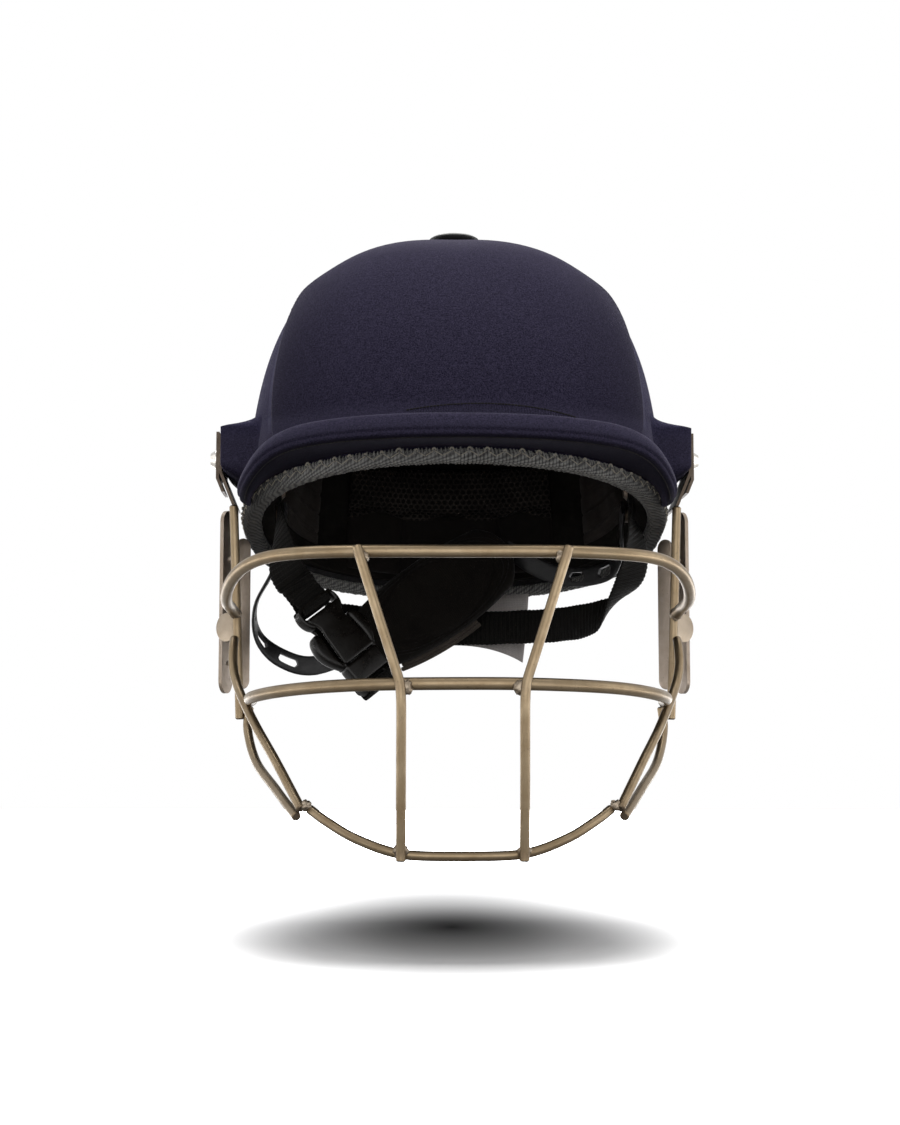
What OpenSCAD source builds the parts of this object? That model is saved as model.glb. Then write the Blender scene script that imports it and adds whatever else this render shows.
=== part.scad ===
// Cricket batting helmet with a cloth covered shell, a peak and a wire grille.
// Front is -Y, up is +Z. The origin is the middle of the head seat, at ear height.

/* [Shell] */
// Half of the helmet's width over the cloth
half_w = 102; // [94:1:110]
// From the origin forward to the front of the shell
front_len = 118; // [108:1:126]
// From the origin back to the rear of the shell
rear_len = 124; // [114:1:134]
// From the origin up to the crown
crown_h = 133; // [122:1:142]
// Thickness of the hard shell
shell_t = 3.5; // [2.5:0.5:4.5]
// Thickness of the cloth cover
cloth_t = 1.2; // [0.8:0.1:1.6]
// Thickness of the foam liner
liner_t = 8; // [6:0.5:10]
// Thickness of the comfort pads
pad_t = 7; // [5:0.5:9]
// Height of the shell's lower edge at the front
rim_front_z = 12; // [8:1:16]
// How much lower the edge lies at the back than at the front
rim_drop = 40; // [34:1:46]
// Height of the rim binding
trim_h = 6; // [4:0.5:8]

/* [Peak] */
// How far the peak stands out at the middle
peak_reach = 42; // [32:1:48]
// Half thickness of the rounded lip
lip_r = 5.5; // [4.5:0.5:7]
// Height of the lip's middle line at the front
lip_z = 15.8; // [13:0.2:18]
// How much the lip falls towards its corners
lip_drop = 17; // [12:1:20]
// Angle from the front to each end of the peak
peak_angle = 62; // [56:1:64]

/* [Top button] */
// Diameter of the button
button_d = 25; // [20:1:30]
// Height of the button above the crown
button_h = 5.5; // [4:0.5:8]
// Diameter of the vent hole under the button
vent_d = 14; // [10:1:18]

/* [Side mounts] */
// How far each flat mounting face stands out past the shell's side
lug_out = 9; // [6:0.5:12]
// Where the grille screws lie, front to back
pivot_y = -20; // [-26:1:-14]
// Height of the grille screws
pivot_z = 22; // [18:1:26]
// Diameter of the grille screws
screw_d = 5; // [4:0.5:6]
// Thickness of the clamp plates and grille tabs
plate_t = 1.5; // [1:0.1:2]
// Width of the clamp plates
plate_w = 20; // [16:1:24]

/* [Grille] */
// Diameter of the top and middle bars
bar_d = 5.4; // [4.5:0.1:6]
// Diameter of the uprights and side wires
wire_d = 4.2; // [3.5:0.1:5]
// Height of the top bar
top_bar_z = -36.5; // [-44:0.5:-32]
// Height of the middle bar
middle_bar_z = -91.5; // [-98:0.5:-84]
// Height of the bottom bar
bottom_bar_z = -162.5; // [-172:0.5:-153]
// From the origin forward to the front of the bars
grille_front = 150; // [140:1:158]
// How far the side posts' tops stand out past the shell's side
post_out = 3.5; // [1:0.5:6]
// How much nearer to the middle the side posts' feet are than their tops
post_lean = 4; // [1:0.5:7]
// Distance between the two uprights at the top bar
upright_gap_top = 87; // [70:1:100]
// Distance between the two uprights below the middle bar
upright_gap_low = 51; // [40:1:64]
// Width of the flat side strips
strip_w = 12; // [9:1:14]

/* [Straps] */
// Width of the chin strap
strap_w = 18; // [15:0.5:20]
// Thickness of the chin strap
strap_t = 1.6; // [1.2:0.2:2]
// Roll of the buckle from upright
buckle_roll = 40; // [25:1:45]
// Turn of the buckle's face about its strap
buckle_turn = 30; // [10:1:35]
// Width of the buckle
buckle_w = 25; // [24:0.5:28]

/* [Fit adjuster] */
// Width of the neck pad
cradle_w = 92; // [80:1:100]
// Height of the neck pad
cradle_h = 44; // [36:1:50]
// Thickness of the neck pad
cradle_pad_t = 11; // [8:0.5:13]
// Width of the plastic bands
band_w = 10; // [8:0.5:12]
// Thickness of the plastic bands
band_t = 1.8; // [1.4:0.1:2.4]

/* [Hidden] */
gap = 0.3;
pad_gap = 0.9;
NAVY = [0.13, 0.12, 0.2];
BLACK = [0.06, 0.06, 0.065];
CHARCOAL = [0.14, 0.14, 0.15];
STEEL = [0.72, 0.66, 0.58];
GREY = [0.42, 0.42, 0.43];

// Shape of the shell in plan and in profile, as powers of a superellipse
plan_n = 2.2;
side_n = 2.8;
front_n = 2.1;
lean = 0.00055;
tuck = 0.000023;

// Depths of the layers under the cloth's outer face
shell_d = cloth_t + gap;
shell_in_d = shell_d + shell_t;
liner_d = shell_in_d + 2 * gap;
liner_in_d = liner_d + liner_t;
pads_d = liner_in_d + pad_gap;
liner_lift = 3;
trim_out = 0.6;
trim_in = shell_in_d + 2.3;

// Heights of the comfort pads: how far their lower edges lie above the rim, and their upper edges
forehead_lift = 5;
forehead_high = 44;
temple_lift = 13;
temple_high = 42;
rear_lift = 6;
rear_high = 36;
crown_pad_low = 84;

// The raised flat faces that carry the grille
lug_x = half_w + lug_out;
lug_half = 20;
lug_slope = 9;
lug_front = pivot_y - lug_half;
lug_back = pivot_y + lug_half;
lug_low = pivot_z - 6;
lug_high = pivot_z + 12;
lug_fall = 8;
lug_foot = 12;

// Angles from the front at which the shell's sections lie
lug_angles = [for (y = [lug_front - lug_slope, lug_front, pivot_y - 7, pivot_y + 7, lug_back,
    lug_back + lug_slope]) acos(-y / half_w)];
half_angles = concat([0, 12, 24, 35, 46, 55], lug_angles, [105, 114, 125, 136, 147, 158, 169]);
ring_angles = concat(half_angles, [180], [for (i = [len(half_angles) - 1 : -1 : 1]) 360 - half_angles[i]]);
lug_levels = [lug_low - lug_foot, lug_low, pivot_z, lug_high, lug_high + lug_fall];
crown_steps = [0.15, 0.3, 0.45, 0.6, 0.73, 0.84, 0.92, 0.965, 0.99];

// Peak
root_gap = 0.5;
peak_end = 2;
peak_rise = 11;
peak_half = concat([0, 6, 12, 18, 24, 30, 35, 41, 46, 51, 55], [peak_angle]);
peak_angles = concat([for (i = [len(peak_half) - 1 : -1 : 1]) -peak_half[i]], peak_half);
lip_angles = [100, 60, 20, -20, -55, -85];

// Side posts
post_x = half_w + post_out;
post_low_x = post_x - post_lean;

// Side mounts, from the lug's face outward
tab_x = lug_x + gap;
clamp_x = tab_x + plate_t + gap;
bend_z = lug_low - 2;
bend_in = tab_x + plate_t / 2 - post_x;
tab_foot_z = -2;
head_x = clamp_x + plate_t + 0.1;
washer_t = 0.8;
nut_x = lug_x - shell_d - shell_t - 3;

// Grille
weld_gap = 0.15;
tie_gap = 0.8;
outer_tie_gap = 1.45;
post_y = -34;
strip_y = pivot_y + 8;
strip_x = post_x + 5;
inner_strip_x = post_x - 6.5;
inner_strip_y = strip_y - 2;
inner_strip_w = strip_w - 3;
strip_t = 1.8;
strip_turn = 20;
post_top = [post_x, post_y, tab_foot_z - weld_gap];
post_foot = [post_low_x, post_y, middle_bar_z - 12];
jaw = [68, -(grille_front - 34), bottom_bar_z + 19];
upright_reach = (bar_d + wire_d) / 2 + weld_gap;

// Where the straps are fixed inside the shell
side_x = half_w - liner_in_d - 3.2;
strap_y = pivot_y + 6;
strap_top_z = 8;

// Buckle, in its own frame with the webbing slot at the origin and the tongue side down
buckle_at = [-64.6, -42, -53];
buckle_up = [-sin(buckle_roll), 0, cos(buckle_roll)];
buckle_out = [cos(buckle_roll) * cos(buckle_turn), sin(buckle_turn), sin(buckle_roll) * cos(buckle_turn)];
buckle_face = cross(buckle_out, buckle_up);
buckle_t = 9;
male_t = buckle_t - 1;
female_low = -28;
male_low = -45.5;
wall = 2.4;

// Neck cradle, in its own frame
cradle_at = [-8, 74, -37];
cradle_roll = -35;
cradle_bend = 95;
frame_t = 2.5;
band_pivot = [side_x - 1.5, 4, -1];

// Small helpers
function unit(v) = v / norm(v);
function ramp(v, a, b) = let (t = min(max((v - a) / (b - a), 0), 1)) t * t * (3 - 2 * t);
function on_ray(th, r, z) = [r * sin(th), -r * cos(th), z];

// A closed solid between two grids of points; wrap joins the last column to the first
module slab(outer, inner, wrap = false) {
    rows = len(outer);
    cols = len(outer[0]);
    count = rows * cols;
    last = wrap ? cols - 1 : cols - 2;
    at = function (r, c) r * cols + c % cols;
    skin = [for (r = [0 : rows - 2], c = [0 : last]) each
        [[at(r, c), at(r + 1, c), at(r + 1, c + 1)], [at(r, c), at(r + 1, c + 1), at(r, c + 1)]]];
    back = [for (f = skin) [f[0] + count, f[2] + count, f[1] + count]];
    ends = [for (c = [0 : last]) each let (t = rows - 1)
        [[at(0, c), at(0, c + 1), at(0, c + 1) + count], [at(0, c), at(0, c + 1) + count, at(0, c) + count],
         [at(t, c + 1), at(t, c), at(t, c) + count], [at(t, c + 1), at(t, c) + count, at(t, c + 1) + count]]];
    sides = wrap ? [] : [for (r = [0 : rows - 2]) each let (e = cols - 1)
        [[at(r + 1, 0), at(r, 0), at(r, 0) + count], [at(r + 1, 0), at(r, 0) + count, at(r + 1, 0) + count],
         [at(r, e), at(r + 1, e), at(r + 1, e) + count], [at(r, e), at(r + 1, e) + count, at(r, e) + count]]];
    polyhedron([for (g = [outer, inner], row = g) each row], concat(skin, back, ends, sides));
}

// A closed solid through rings of points, capped at its ends or joined into a loop
module sweep(rings, loop = false) {
    rows = len(rings);
    cols = len(rings[0]);
    last = loop ? rows - 1 : rows - 2;
    at = function (r, c) (r % rows) * cols + c % cols;
    skin = [for (r = [0 : last], c = [0 : cols - 1]) each
        [[at(r, c), at(r + 1, c), at(r + 1, c + 1)], [at(r, c), at(r + 1, c + 1), at(r, c + 1)]]];
    caps = loop ? [] : [[for (c = [0 : cols - 1]) c], [for (c = [cols - 1 : -1 : 0]) at(rows - 1, c)]];
    polyhedron([for (ring = rings) each ring], concat(skin, caps));
}

// Points between hand placed ones, on a smooth curve
function smooth(p, steps) = let (n = len(p) - 1) concat([for (i = [0 : n - 1], k = [0 : steps - 1])
    let (t = k / steps, a = p[max(i - 1, 0)], b = p[i], c = p[i + 1], d = p[min(i + 2, n)])
    0.5 * (2 * b + (c - a) * t + (2 * a - 5 * b + 4 * c - d) * t * t + (3 * b - a - 3 * c + d) * t * t * t)],
    [p[n]]);
function tangent(p, i) = unit(p[min(i + 1, len(p) - 1)] - p[max(i - 1, 0)]);

// A round wire along points; up is any direction that the wire never runs along
module wire(p, d, up, sides = 8)
    sweep([for (i = [0 : len(p) - 1]) let (t = tangent(p, i), u = unit(cross(up, t)), v = cross(t, u))
        [for (k = [0 : sides - 1]) p[i] + d / 2 * (cos(360 * k / sides) * u + sin(360 * k / sides) * v)]]);

// A flat strap along stations of [place, direction across]
module strap(stations, w, t) {
    p = [for (s = stations) s[0]];
    faces = [for (side = [1, -1]) [for (i = [0 : len(p) - 1])
        let (across = unit(stations[i][1]), out = unit(cross(tangent(p, i), across)))
        [for (e = [-1, 1]) p[i] + e * w / 2 * across + side * t / 2 * out]]];
    slab(faces[1], faces[0]);
}
function smooth_stations(s, steps) = let (p = smooth([for (v = s) v[0]], steps),
    a = smooth([for (v = s) v[1]], steps)) [for (i = [0 : len(p) - 1]) [p[i], a[i]]];

// The helmet's outer form
function half_len(th) = cos(th) > 0 ? front_len : rear_len;
function plan_r(th, d) = pow(pow(abs(sin(th)) / (half_w - d), plan_n)
    + pow(abs(cos(th)) / (half_len(th) - d), plan_n), -1 / plan_n);
function squareness(th) = side_n * pow(sin(th), 2) + front_n * pow(cos(th), 2);
function rise(th, z, d) = z <= 0 ? 1 - tuck * z * z : (1 - lean * z)
    * pow(1 - pow(min(z / (crown_h - d), 1), squareness(th)), 1 / squareness(th));
function dome(th, z, d) = on_ray(th, plan_r(th, d) * rise(th, z, d), z);
function rim_z(th) = rim_front_z - rim_drop * (1 - cos(th)) / 2;

// Height of each level of the shell's grid, which follows the lugs at the sides
function low_level(th, k) = let (side = ramp(abs(sin(th)), 0.75, 0.87), rim = rim_z(th),
    high = lug_levels[4], even = rim + (high - rim) * (k + 1) / 5)
    max(side * lug_levels[k] + (1 - side) * even, rim + 1.5 * (k + 1));
function levels(th, d) = let (high = low_level(th, 4)) concat([rim_z(th)],
    [for (k = [0 : 4]) low_level(th, k)], [for (f = crown_steps) high + (crown_h - d - high) * f]);
function lug_weight(y, z) = ramp(y, lug_front - lug_slope, lug_front)
    * (1 - ramp(y, lug_back, lug_back + lug_slope))
    * ramp(z, lug_low - lug_foot, lug_low) * (1 - ramp(z, lug_high, lug_high + lug_fall));
function shell_point(th, z, d) = let (r = plan_r(th, d) * rise(th, z, d), s = abs(sin(th)),
    w = s > 0.5 ? lug_weight(-r * cos(th), z) : 0)
    on_ray(th, r + w * max((lug_x - d) / max(s, 0.5) - r, 0), z);
function shell_grid(d) = let (columns = [for (th = ring_angles) concat(
    [for (z = levels(th, d)) shell_point(th, z, d)], [on_ray(th, vent_d / 2, crown_h - d)])])
    [for (r = [0 : len(columns[0]) - 1]) [for (c = columns) c[r]]];

// One shell layer between two depths, bored for the grille screws
module shell_layer(d_out, d_in, bore_d) {
    difference() {
        slab(shell_grid(d_out), shell_grid(d_in), wrap = true);
        for (side = [-1, 1]) translate([side * lug_x, pivot_y, pivot_z])
            rotate([0, 90, 0]) cylinder(d = bore_d, h = 30, center = true, $fn = 32);
    }
}

module outer_shell() {
    color(CHARCOAL) shell_layer(shell_d, shell_in_d, screw_d + 0.4);
}

module shell_cover() {
    color(NAVY) shell_layer(0, cloth_t, screw_d + 0.4);
}

// The liner is a plain dome inside the shell, open at the vent
module foam_liner() {
    low = function (th) rim_z(th) + liner_lift;
    grid = function (d) concat(
        [for (f = [0 : 0.25 : 0.75]) [for (th = ring_angles)
            dome(th, low(th) + (low_level(th, 4) - low(th)) * f, d)]],
        [for (f = concat([0], crown_steps)) [for (th = ring_angles)
            dome(th, low_level(th, 4) + (crown_h - d - low_level(th, 4)) * f, d)]],
        [[for (th = ring_angles) on_ray(th, vent_d / 2, crown_h - d)]]);
    color(BLACK) slab(grid(liner_d), grid(liner_in_d), wrap = true);
}

// A soft pad on the inside of the liner, thinner towards its edges
module inner_pad(from, to, low, high, steps = 8, rows = 4, t = pad_t) {
    grid = function (deep) [for (r = [0 : rows]) [for (c = [0 : steps])
        let (th = from + (to - from) * c / steps, v = 2 * r / rows - 1, u = 2 * c / steps - 1,
            full = 1 - 0.55 * max(pow(u, 4), pow(v, 4)))
        dome(th, low(th) + (high - low(th)) * r / rows, pads_d + deep * t * full)]];
    slab(grid(0), grid(1));
}

module crown_pad() {
    angles = [for (th = [0 : 20 : 340]) th];
    grid = function (d) concat([for (f = [0, 0.3, 0.58, 0.82, 0.95]) [for (th = angles)
        dome(th, crown_pad_low + (crown_h - d - crown_pad_low) * f, d)]],
        [[for (th = angles) on_ray(th, vent_d / 2, crown_h - d)]]);
    color(BLACK) slab(grid(pads_d), grid(pads_d + pad_t), wrap = true);
}

module forehead_pad() {
    half = 52;
    color(BLACK) inner_pad(-half, half, function (th) rim_z(th) + forehead_lift, forehead_high, steps = 12);
}

module temple_pad() {
    inner_pad(98, 134, function (th) rim_z(th) + temple_lift, temple_high, steps = 5);
}

module left_temple_pad() {
    color(BLACK) mirror([1, 0, 0]) temple_pad();
}

module right_temple_pad() {
    color(BLACK) temple_pad();
}

module rear_pad() {
    half = 32;
    color(BLACK) inner_pad(180 - half, 180 + half, function (th) rim_z(th) + rear_lift, rear_high);
}

// A soft grey flap that hangs inside the rear edge
module neck_flap() {
    top = rim_front_z - rim_drop - trim_h + 2;
    low = -70;
    half = 19;
    grid = function (d) [for (r = [0 : 4]) [for (c = [0 : 6])
        let (u = c / 3 - 1, hem = low + 10 * (1 - u * u)) dome(180 + half * u, hem + (top - hem) * r / 4, d)]];
    color(GREY) slab(grid(trim_in + pad_gap + gap), grid(trim_in + pad_gap + gap + 3));
}

// The knitted binding along the whole lower edge
module edge_trim() {
    z1 = -gap;
    z0 = -gap - trim_h;
    soft = 1.5;
    section = [[-trim_out, z1 - soft], [-trim_out, z0 + soft], [soft - trim_out, z0], [trim_in - soft, z0],
        [trim_in, z0 + soft], [trim_in, z1 - soft], [trim_in - soft, z1], [soft - trim_out, z1]];
    color(GREY) sweep([for (th = ring_angles) [for (s = section) dome(th, rim_z(th) + s[1], s[0])]],
        loop = true);
}

// The peak's section at an angle, drawn in from its outer face by off
function peak_at(th) = peak_end + (peak_reach - peak_end) * pow(cos(90 * th / (peak_angle + 8)), 1.1);
function lip_mid(th) = lip_z - lip_drop / (1 + pow(44 / max(abs(th), 1), 8));
function peak_point(th, u, z) = on_ray(th, plan_r(th, 0) * rise(th, z, 0) + u, z);
function peak_section(th, off) = let (u = peak_at(th) - lip_r, z = lip_mid(th), r = lip_r - off,
    top = z + peak_rise - off, low = max(rim_z(th) + 1, z - lip_r) + off)
    concat([peak_point(th, root_gap, top), peak_point(th, max(u * 0.5, root_gap), (top + z + r) / 2 - 0.8)],
        [for (a = lip_angles) peak_point(th, u + r * cos(a), z + r * sin(a))],
        [peak_point(th, max(u * 0.5, root_gap), (low + z - r) / 2), peak_point(th, root_gap, low)]);

module peak_core() {
    color(CHARCOAL) sweep([for (th = peak_angles) peak_section(th, cloth_t + 4 * gap)]);
}

module peak_cover() {
    turned = function (off) let (rows = [for (th = peak_angles) peak_section(th, off)])
        [for (i = [len(rows[0]) - 1 : -1 : 0]) [for (row = rows) row[i]]];
    color(NAVY) slab(turned(0), turned(cloth_t));
}

// A low ridged button that covers the vent, with a stem that drops into it
module vent_button() {
    edge = 1.6;
    color(BLACK) translate([0, 0, crown_h + gap]) {
        cylinder(d = button_d, h = edge, $fn = 64);
        translate([0, 0, edge]) cylinder(d = button_d - 3, h = button_h - edge - 0.8, $fn = 64);
        translate([0, 0, -cloth_t - shell_t - 2])
            cylinder(d = vent_d - 2, h = cloth_t + shell_t + 2, $fn = 64);
    }
}

module button_mesh() {
    color(GREY) translate([0, 0, crown_h + gap + button_h - 0.8 + 0.05])
        cylinder(d = button_d - 5, h = 0.8, $fn = 64);
}

// A bent plate in the side's own frame: upright at x, then sloping in below the bend
module bent_plate(x, t, w, top_z, bend, foot_z) {
    slope = bend_in / (bend_z - tab_foot_z);
    foot_x = x - slope * (bend - foot_z);
    translate([0, pivot_y + w / 2, 0]) rotate([90, 0, 0]) linear_extrude(height = w)
        polygon([[x, top_z], [x, bend], [foot_x, foot_z], [foot_x + t, foot_z], [x + t, bend],
            [x + t, top_z]]);
}
module screw_bore(d) {
    translate([lug_x - 20, pivot_y, pivot_z]) rotate([0, 90, 0]) cylinder(d = d, h = 40, $fn = 48);
}
module on_both_sides() {
    children();
    mirror([1, 0, 0]) children();
}

module clamp_plate() {
    color(CHARCOAL) difference() {
        bent_plate(clamp_x, plate_t, plate_w, lug_high, bend_z - 2.5, bend_z - 9);
        screw_bore(screw_d + 0.3);
    }
}
module left_clamp_plate() {
    mirror([1, 0, 0]) clamp_plate();
}
module right_clamp_plate() {
    clamp_plate();
}

// The tab hangs the grille from the screw and carries the post and the outer strip at its foot
module hinge_tab() {
    color(STEEL) difference() {
        bent_plate(tab_x, plate_t, 2 * (pivot_y - post_y) + wire_d, lug_high - 2, bend_z, tab_foot_z);
        screw_bore(screw_d + 0.2);
    }
}
module left_hinge_tab() {
    mirror([1, 0, 0]) hinge_tab();
}
module right_hinge_tab() {
    hinge_tab();
}

module grille_screws() {
    head_h = 2.4;
    color("silver") on_both_sides() translate([0, pivot_y, pivot_z]) rotate([0, 90, 0]) {
        translate([0, 0, head_x + washer_t + 0.1])
            cylinder(d1 = screw_d * 1.8, d2 = screw_d * 1.2, h = head_h, $fn = 48);
        translate([0, 0, nut_x - 2]) cylinder(d = screw_d, h = head_x + washer_t + 0.1 - nut_x + 2, $fn = 48);
    }
}
module screw_washers() {
    color("silver") on_both_sides() translate([head_x, pivot_y, pivot_z]) rotate([0, 90, 0]) difference() {
        cylinder(d = screw_d * 2.1, h = washer_t, $fn = 48);
        translate([0, 0, -1]) cylinder(d = screw_d + 0.3, h = washer_t + 2, $fn = 48);
    }
}
module screw_nuts() {
    color("silver") on_both_sides() translate([nut_x, pivot_y, pivot_z]) rotate([0, 90, 0]) difference() {
        cylinder(d = screw_d * 2, h = 2.6, $fn = 6);
        translate([0, 0, -1]) cylinder(d = screw_d + 0.2, h = 5, $fn = 48);
    }
}

// Plan curves of the two upper bars: half width, where the ends lie, roundness
top_half = post_x;
top_end_y = post_y - 12;
top_round = 3;
top_fall = 15;
middle_half = post_x - 11.8;
middle_end_y = post_y - 34;
middle_round = 2.3;
middle_fall = 4;
function bar_y(x, half, end_y, n) = end_y
    - (grille_front + end_y) * pow(1 - pow(min(abs(x / half), 1), n), 1 / n);
function bar_path(half, end_y, n, z, fall, steps, power) = [for (i = [-steps : steps])
    let (a = 90 * i / steps, x = half * sign(a) * pow(abs(sin(a)), 2 / n))
    [x, bar_y(x, half, end_y, n), z - fall * pow(abs(sin(a)), power)]];

// The top bar's ends meet the fronts of the posts
top_meet = [top_half - 1.6, post_y - upright_reach, top_bar_z - top_fall - 2.5];
module top_bar() {
    path = bar_path(top_half, top_end_y, top_round, top_bar_z, top_fall, 14, 8);
    color(STEEL) wire(concat([[-top_meet[0], top_meet[1], top_meet[2]]], path, [top_meet]), bar_d, [0, 0, 1]);
}
module middle_bar() {
    color(STEEL) wire(bar_path(middle_half, middle_end_y, middle_round, middle_bar_z, middle_fall, 12, 3),
        bar_d, [0, 0, 1]);
}
low_y = 10 - grille_front;
bottom_half = [[0, low_y, bottom_bar_z], [25, low_y + 2, bottom_bar_z + 1], [44, low_y + 9, bottom_bar_z + 7],
    [57, low_y + 18.5, bottom_bar_z + 14], [jaw[0] - 3.4, jaw[1] + 2.9, jaw[2]]];
module bottom_bar() {
    p = smooth(bottom_half, 3);
    n = len(p) - 1;
    color(STEEL) wire(concat([for (i = [n : -1 : 1]) [-p[i][0], p[i][1], p[i][2]]], p), wire_d, [0, 0, 1]);
}

// The uprights stand in front of the bars and bend at the middle one
module upright() {
    top_x = upright_gap_top / 2;
    low_x = upright_gap_low / 2;
    top_y = bar_y(top_x, top_half, top_end_y, top_round) - upright_reach;
    middle_y = bar_y(low_x, middle_half, middle_end_y, middle_round) - upright_reach;
    foot_y = low_y + 2 - wire_d - weld_gap;
    color(STEEL) wire([[top_x + 0.6, top_y, top_bar_z + 2], [low_x + 3, middle_y - 0.5, middle_bar_z + 8],
        [low_x + 0.4, middle_y, middle_bar_z], [low_x, middle_y, middle_bar_z - 8],
        [low_x, foot_y, bottom_bar_z + 1], [low_x, foot_y, bottom_bar_z - 2]], wire_d, [0, 1, 0]);
}
module left_upright() {
    mirror([1, 0, 0]) upright();
}
module right_upright() {
    upright();
}

// A straight round rod between two points
module rod(from, to, d) {
    run = to - from;
    translate(from) rotate([0, acos(run[2] / norm(run)), atan2(run[1], run[0])])
        cylinder(d = d, h = norm(run), $fn = 48);
}

// Straight side post, which a clip-on neck guard can also grip
module post() {
    color(STEEL) rod(post_foot, post_top, wire_d);
}
module left_post() {
    mirror([1, 0, 0]) post();
}
module right_post() {
    post();
}

// A flat strip with round ends, turned a little towards the front
module flat_strip(x, y, top, low, turn, w = strip_w) {
    r = w / 2;
    translate([x, y, 0]) rotate([0, 0, turn]) translate([-strip_t / 2, 0, 0]) rotate([90, 0, 90])
        linear_extrude(height = strip_t) union() {
            translate([-r, low + r]) square([w, top - low - w]);
            translate([0, low + r]) circle(r = r, $fn = 48);
            translate([0, top - r]) circle(r = r, $fn = 48);
        }
}
module outer_strip() {
    color(STEEL) flat_strip(strip_x, strip_y, tab_foot_z, middle_bar_z + 1, strip_turn);
}
module left_outer_strip() {
    mirror([1, 0, 0]) outer_strip();
}
module right_outer_strip() {
    outer_strip();
}
module inner_strip() {
    top = rim_z(90) - trim_h - 1;
    color(STEEL) flat_strip(inner_strip_x, inner_strip_y, top, middle_bar_z + 3, strip_turn,
        w = inner_strip_w);
}
module left_inner_strip() {
    mirror([1, 0, 0]) inner_strip();
}
module right_inner_strip() {
    inner_strip();
}

// Distance of the post from the middle at a height
function post_at(z) = post_low_x + (post_x - post_low_x) * (z - post_foot[2]) / (post_top[2] - post_foot[2]);

// Round tab on the outside of the post
module side_tab() {
    tab_r = 6.5;
    z = top_bar_z - 30;
    color(STEEL) translate([post_at(z) + wire_d / 2 + weld_gap + 0.2, post_y + 2, z]) rotate([0, 90, 0])
        cylinder(r = tab_r, h = strip_t, $fn = 48);
}
module left_side_tab() {
    mirror([1, 0, 0]) side_tab();
}
module right_side_tab() {
    side_tab();
}

// Short rods that tie the two strips to the post
tie_d = 3;
module side_ties() {
    from_y = post_y + wire_d / 2 + tie_gap;
    color(STEEL) for (z = [top_bar_z + 6.5, middle_bar_z + 11.5]) {
        high = z + tie_d + tie_gap;
        rod([post_at(z), from_y, z],
            strip_edge(inner_strip_x, inner_strip_y, inner_strip_w / 2 + tie_gap, z), tie_d);
        rod([post_at(z), from_y, high],
            strip_edge(strip_x, strip_y, strip_w / 2 + outer_tie_gap, high), tie_d);
    }
}
// The point before the middle of a strip's front edge at a height
function strip_edge(x, y, reach, z) = [x + reach * sin(strip_turn), y - reach * cos(strip_turn), z];
module left_side_ties() {
    mirror([1, 0, 0]) side_ties();
}
module right_side_ties() {
    side_ties();
}

// The jaw wires run from a bent end beside the post down to the bottom bar
jaw_front = post_y - wire_d - 1;
module jaw_bar() {
    color(STEEL) wire(smooth([[post_x - 1.5, jaw_front, top_bar_z - 29.5],
        [post_x - 1.5, jaw_front - 5, top_bar_z - 33], [post_x - 2, jaw_front - 11, top_bar_z - 43],
        [post_x - 5.5, jaw_front - 19, top_bar_z - 54], [post_x - 14.5, jaw_front - 39, top_bar_z - 70],
        [jaw[0] + 12, jaw[1] + 19, jaw[2] + 20], jaw], 2), wire_d, [0, 1, 0]);
}
module left_jaw_bar() {
    mirror([1, 0, 0]) jaw_bar();
}
module right_jaw_bar() {
    jaw_bar();
}
module rear_jaw_bar() {
    beside = wire_d + 2 * weld_gap;
    top = [post_low_x - beside, post_y, post_foot[2] + 6];
    color(STEEL) wire(smooth([top, top + [0.5, -3, -11], top + [-5, -21, -26],
        [jaw[0] + 13, jaw[1] + 32, jaw[2] + 8], jaw + beside * [0.45, 0.55, -0.72]], 3),
        wire_d, [0, 1, 0]);
}
module left_rear_jaw_bar() {
    mirror([1, 0, 0]) rear_jaw_bar();
}
module right_rear_jaw_bar() {
    rear_jaw_bar();
}

// Weld beads where wires meet
module weld_beads() {
    top_x = upright_gap_top / 2 - 2;
    low_x = upright_gap_low / 2;
    spots = [[top_x, bar_y(top_x, top_half, top_end_y, top_round) - 2.5, top_bar_z - 2.5],
        [low_x - 2, bar_y(low_x, middle_half, middle_end_y, middle_round) - 2.6, middle_bar_z - 1.5],
        [low_x, low_y, bottom_bar_z + 2.5], [jaw[0] - 1.5, jaw[1] + 1.5, jaw[2] + 1.5],
        [middle_half, middle_end_y + 2.5, middle_bar_z - middle_fall], top_meet];
    color([0.4, 0.36, 0.32]) on_both_sides() for (s = spots) translate(s) sphere(r = 2.6, $fn = 24);
}

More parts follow.
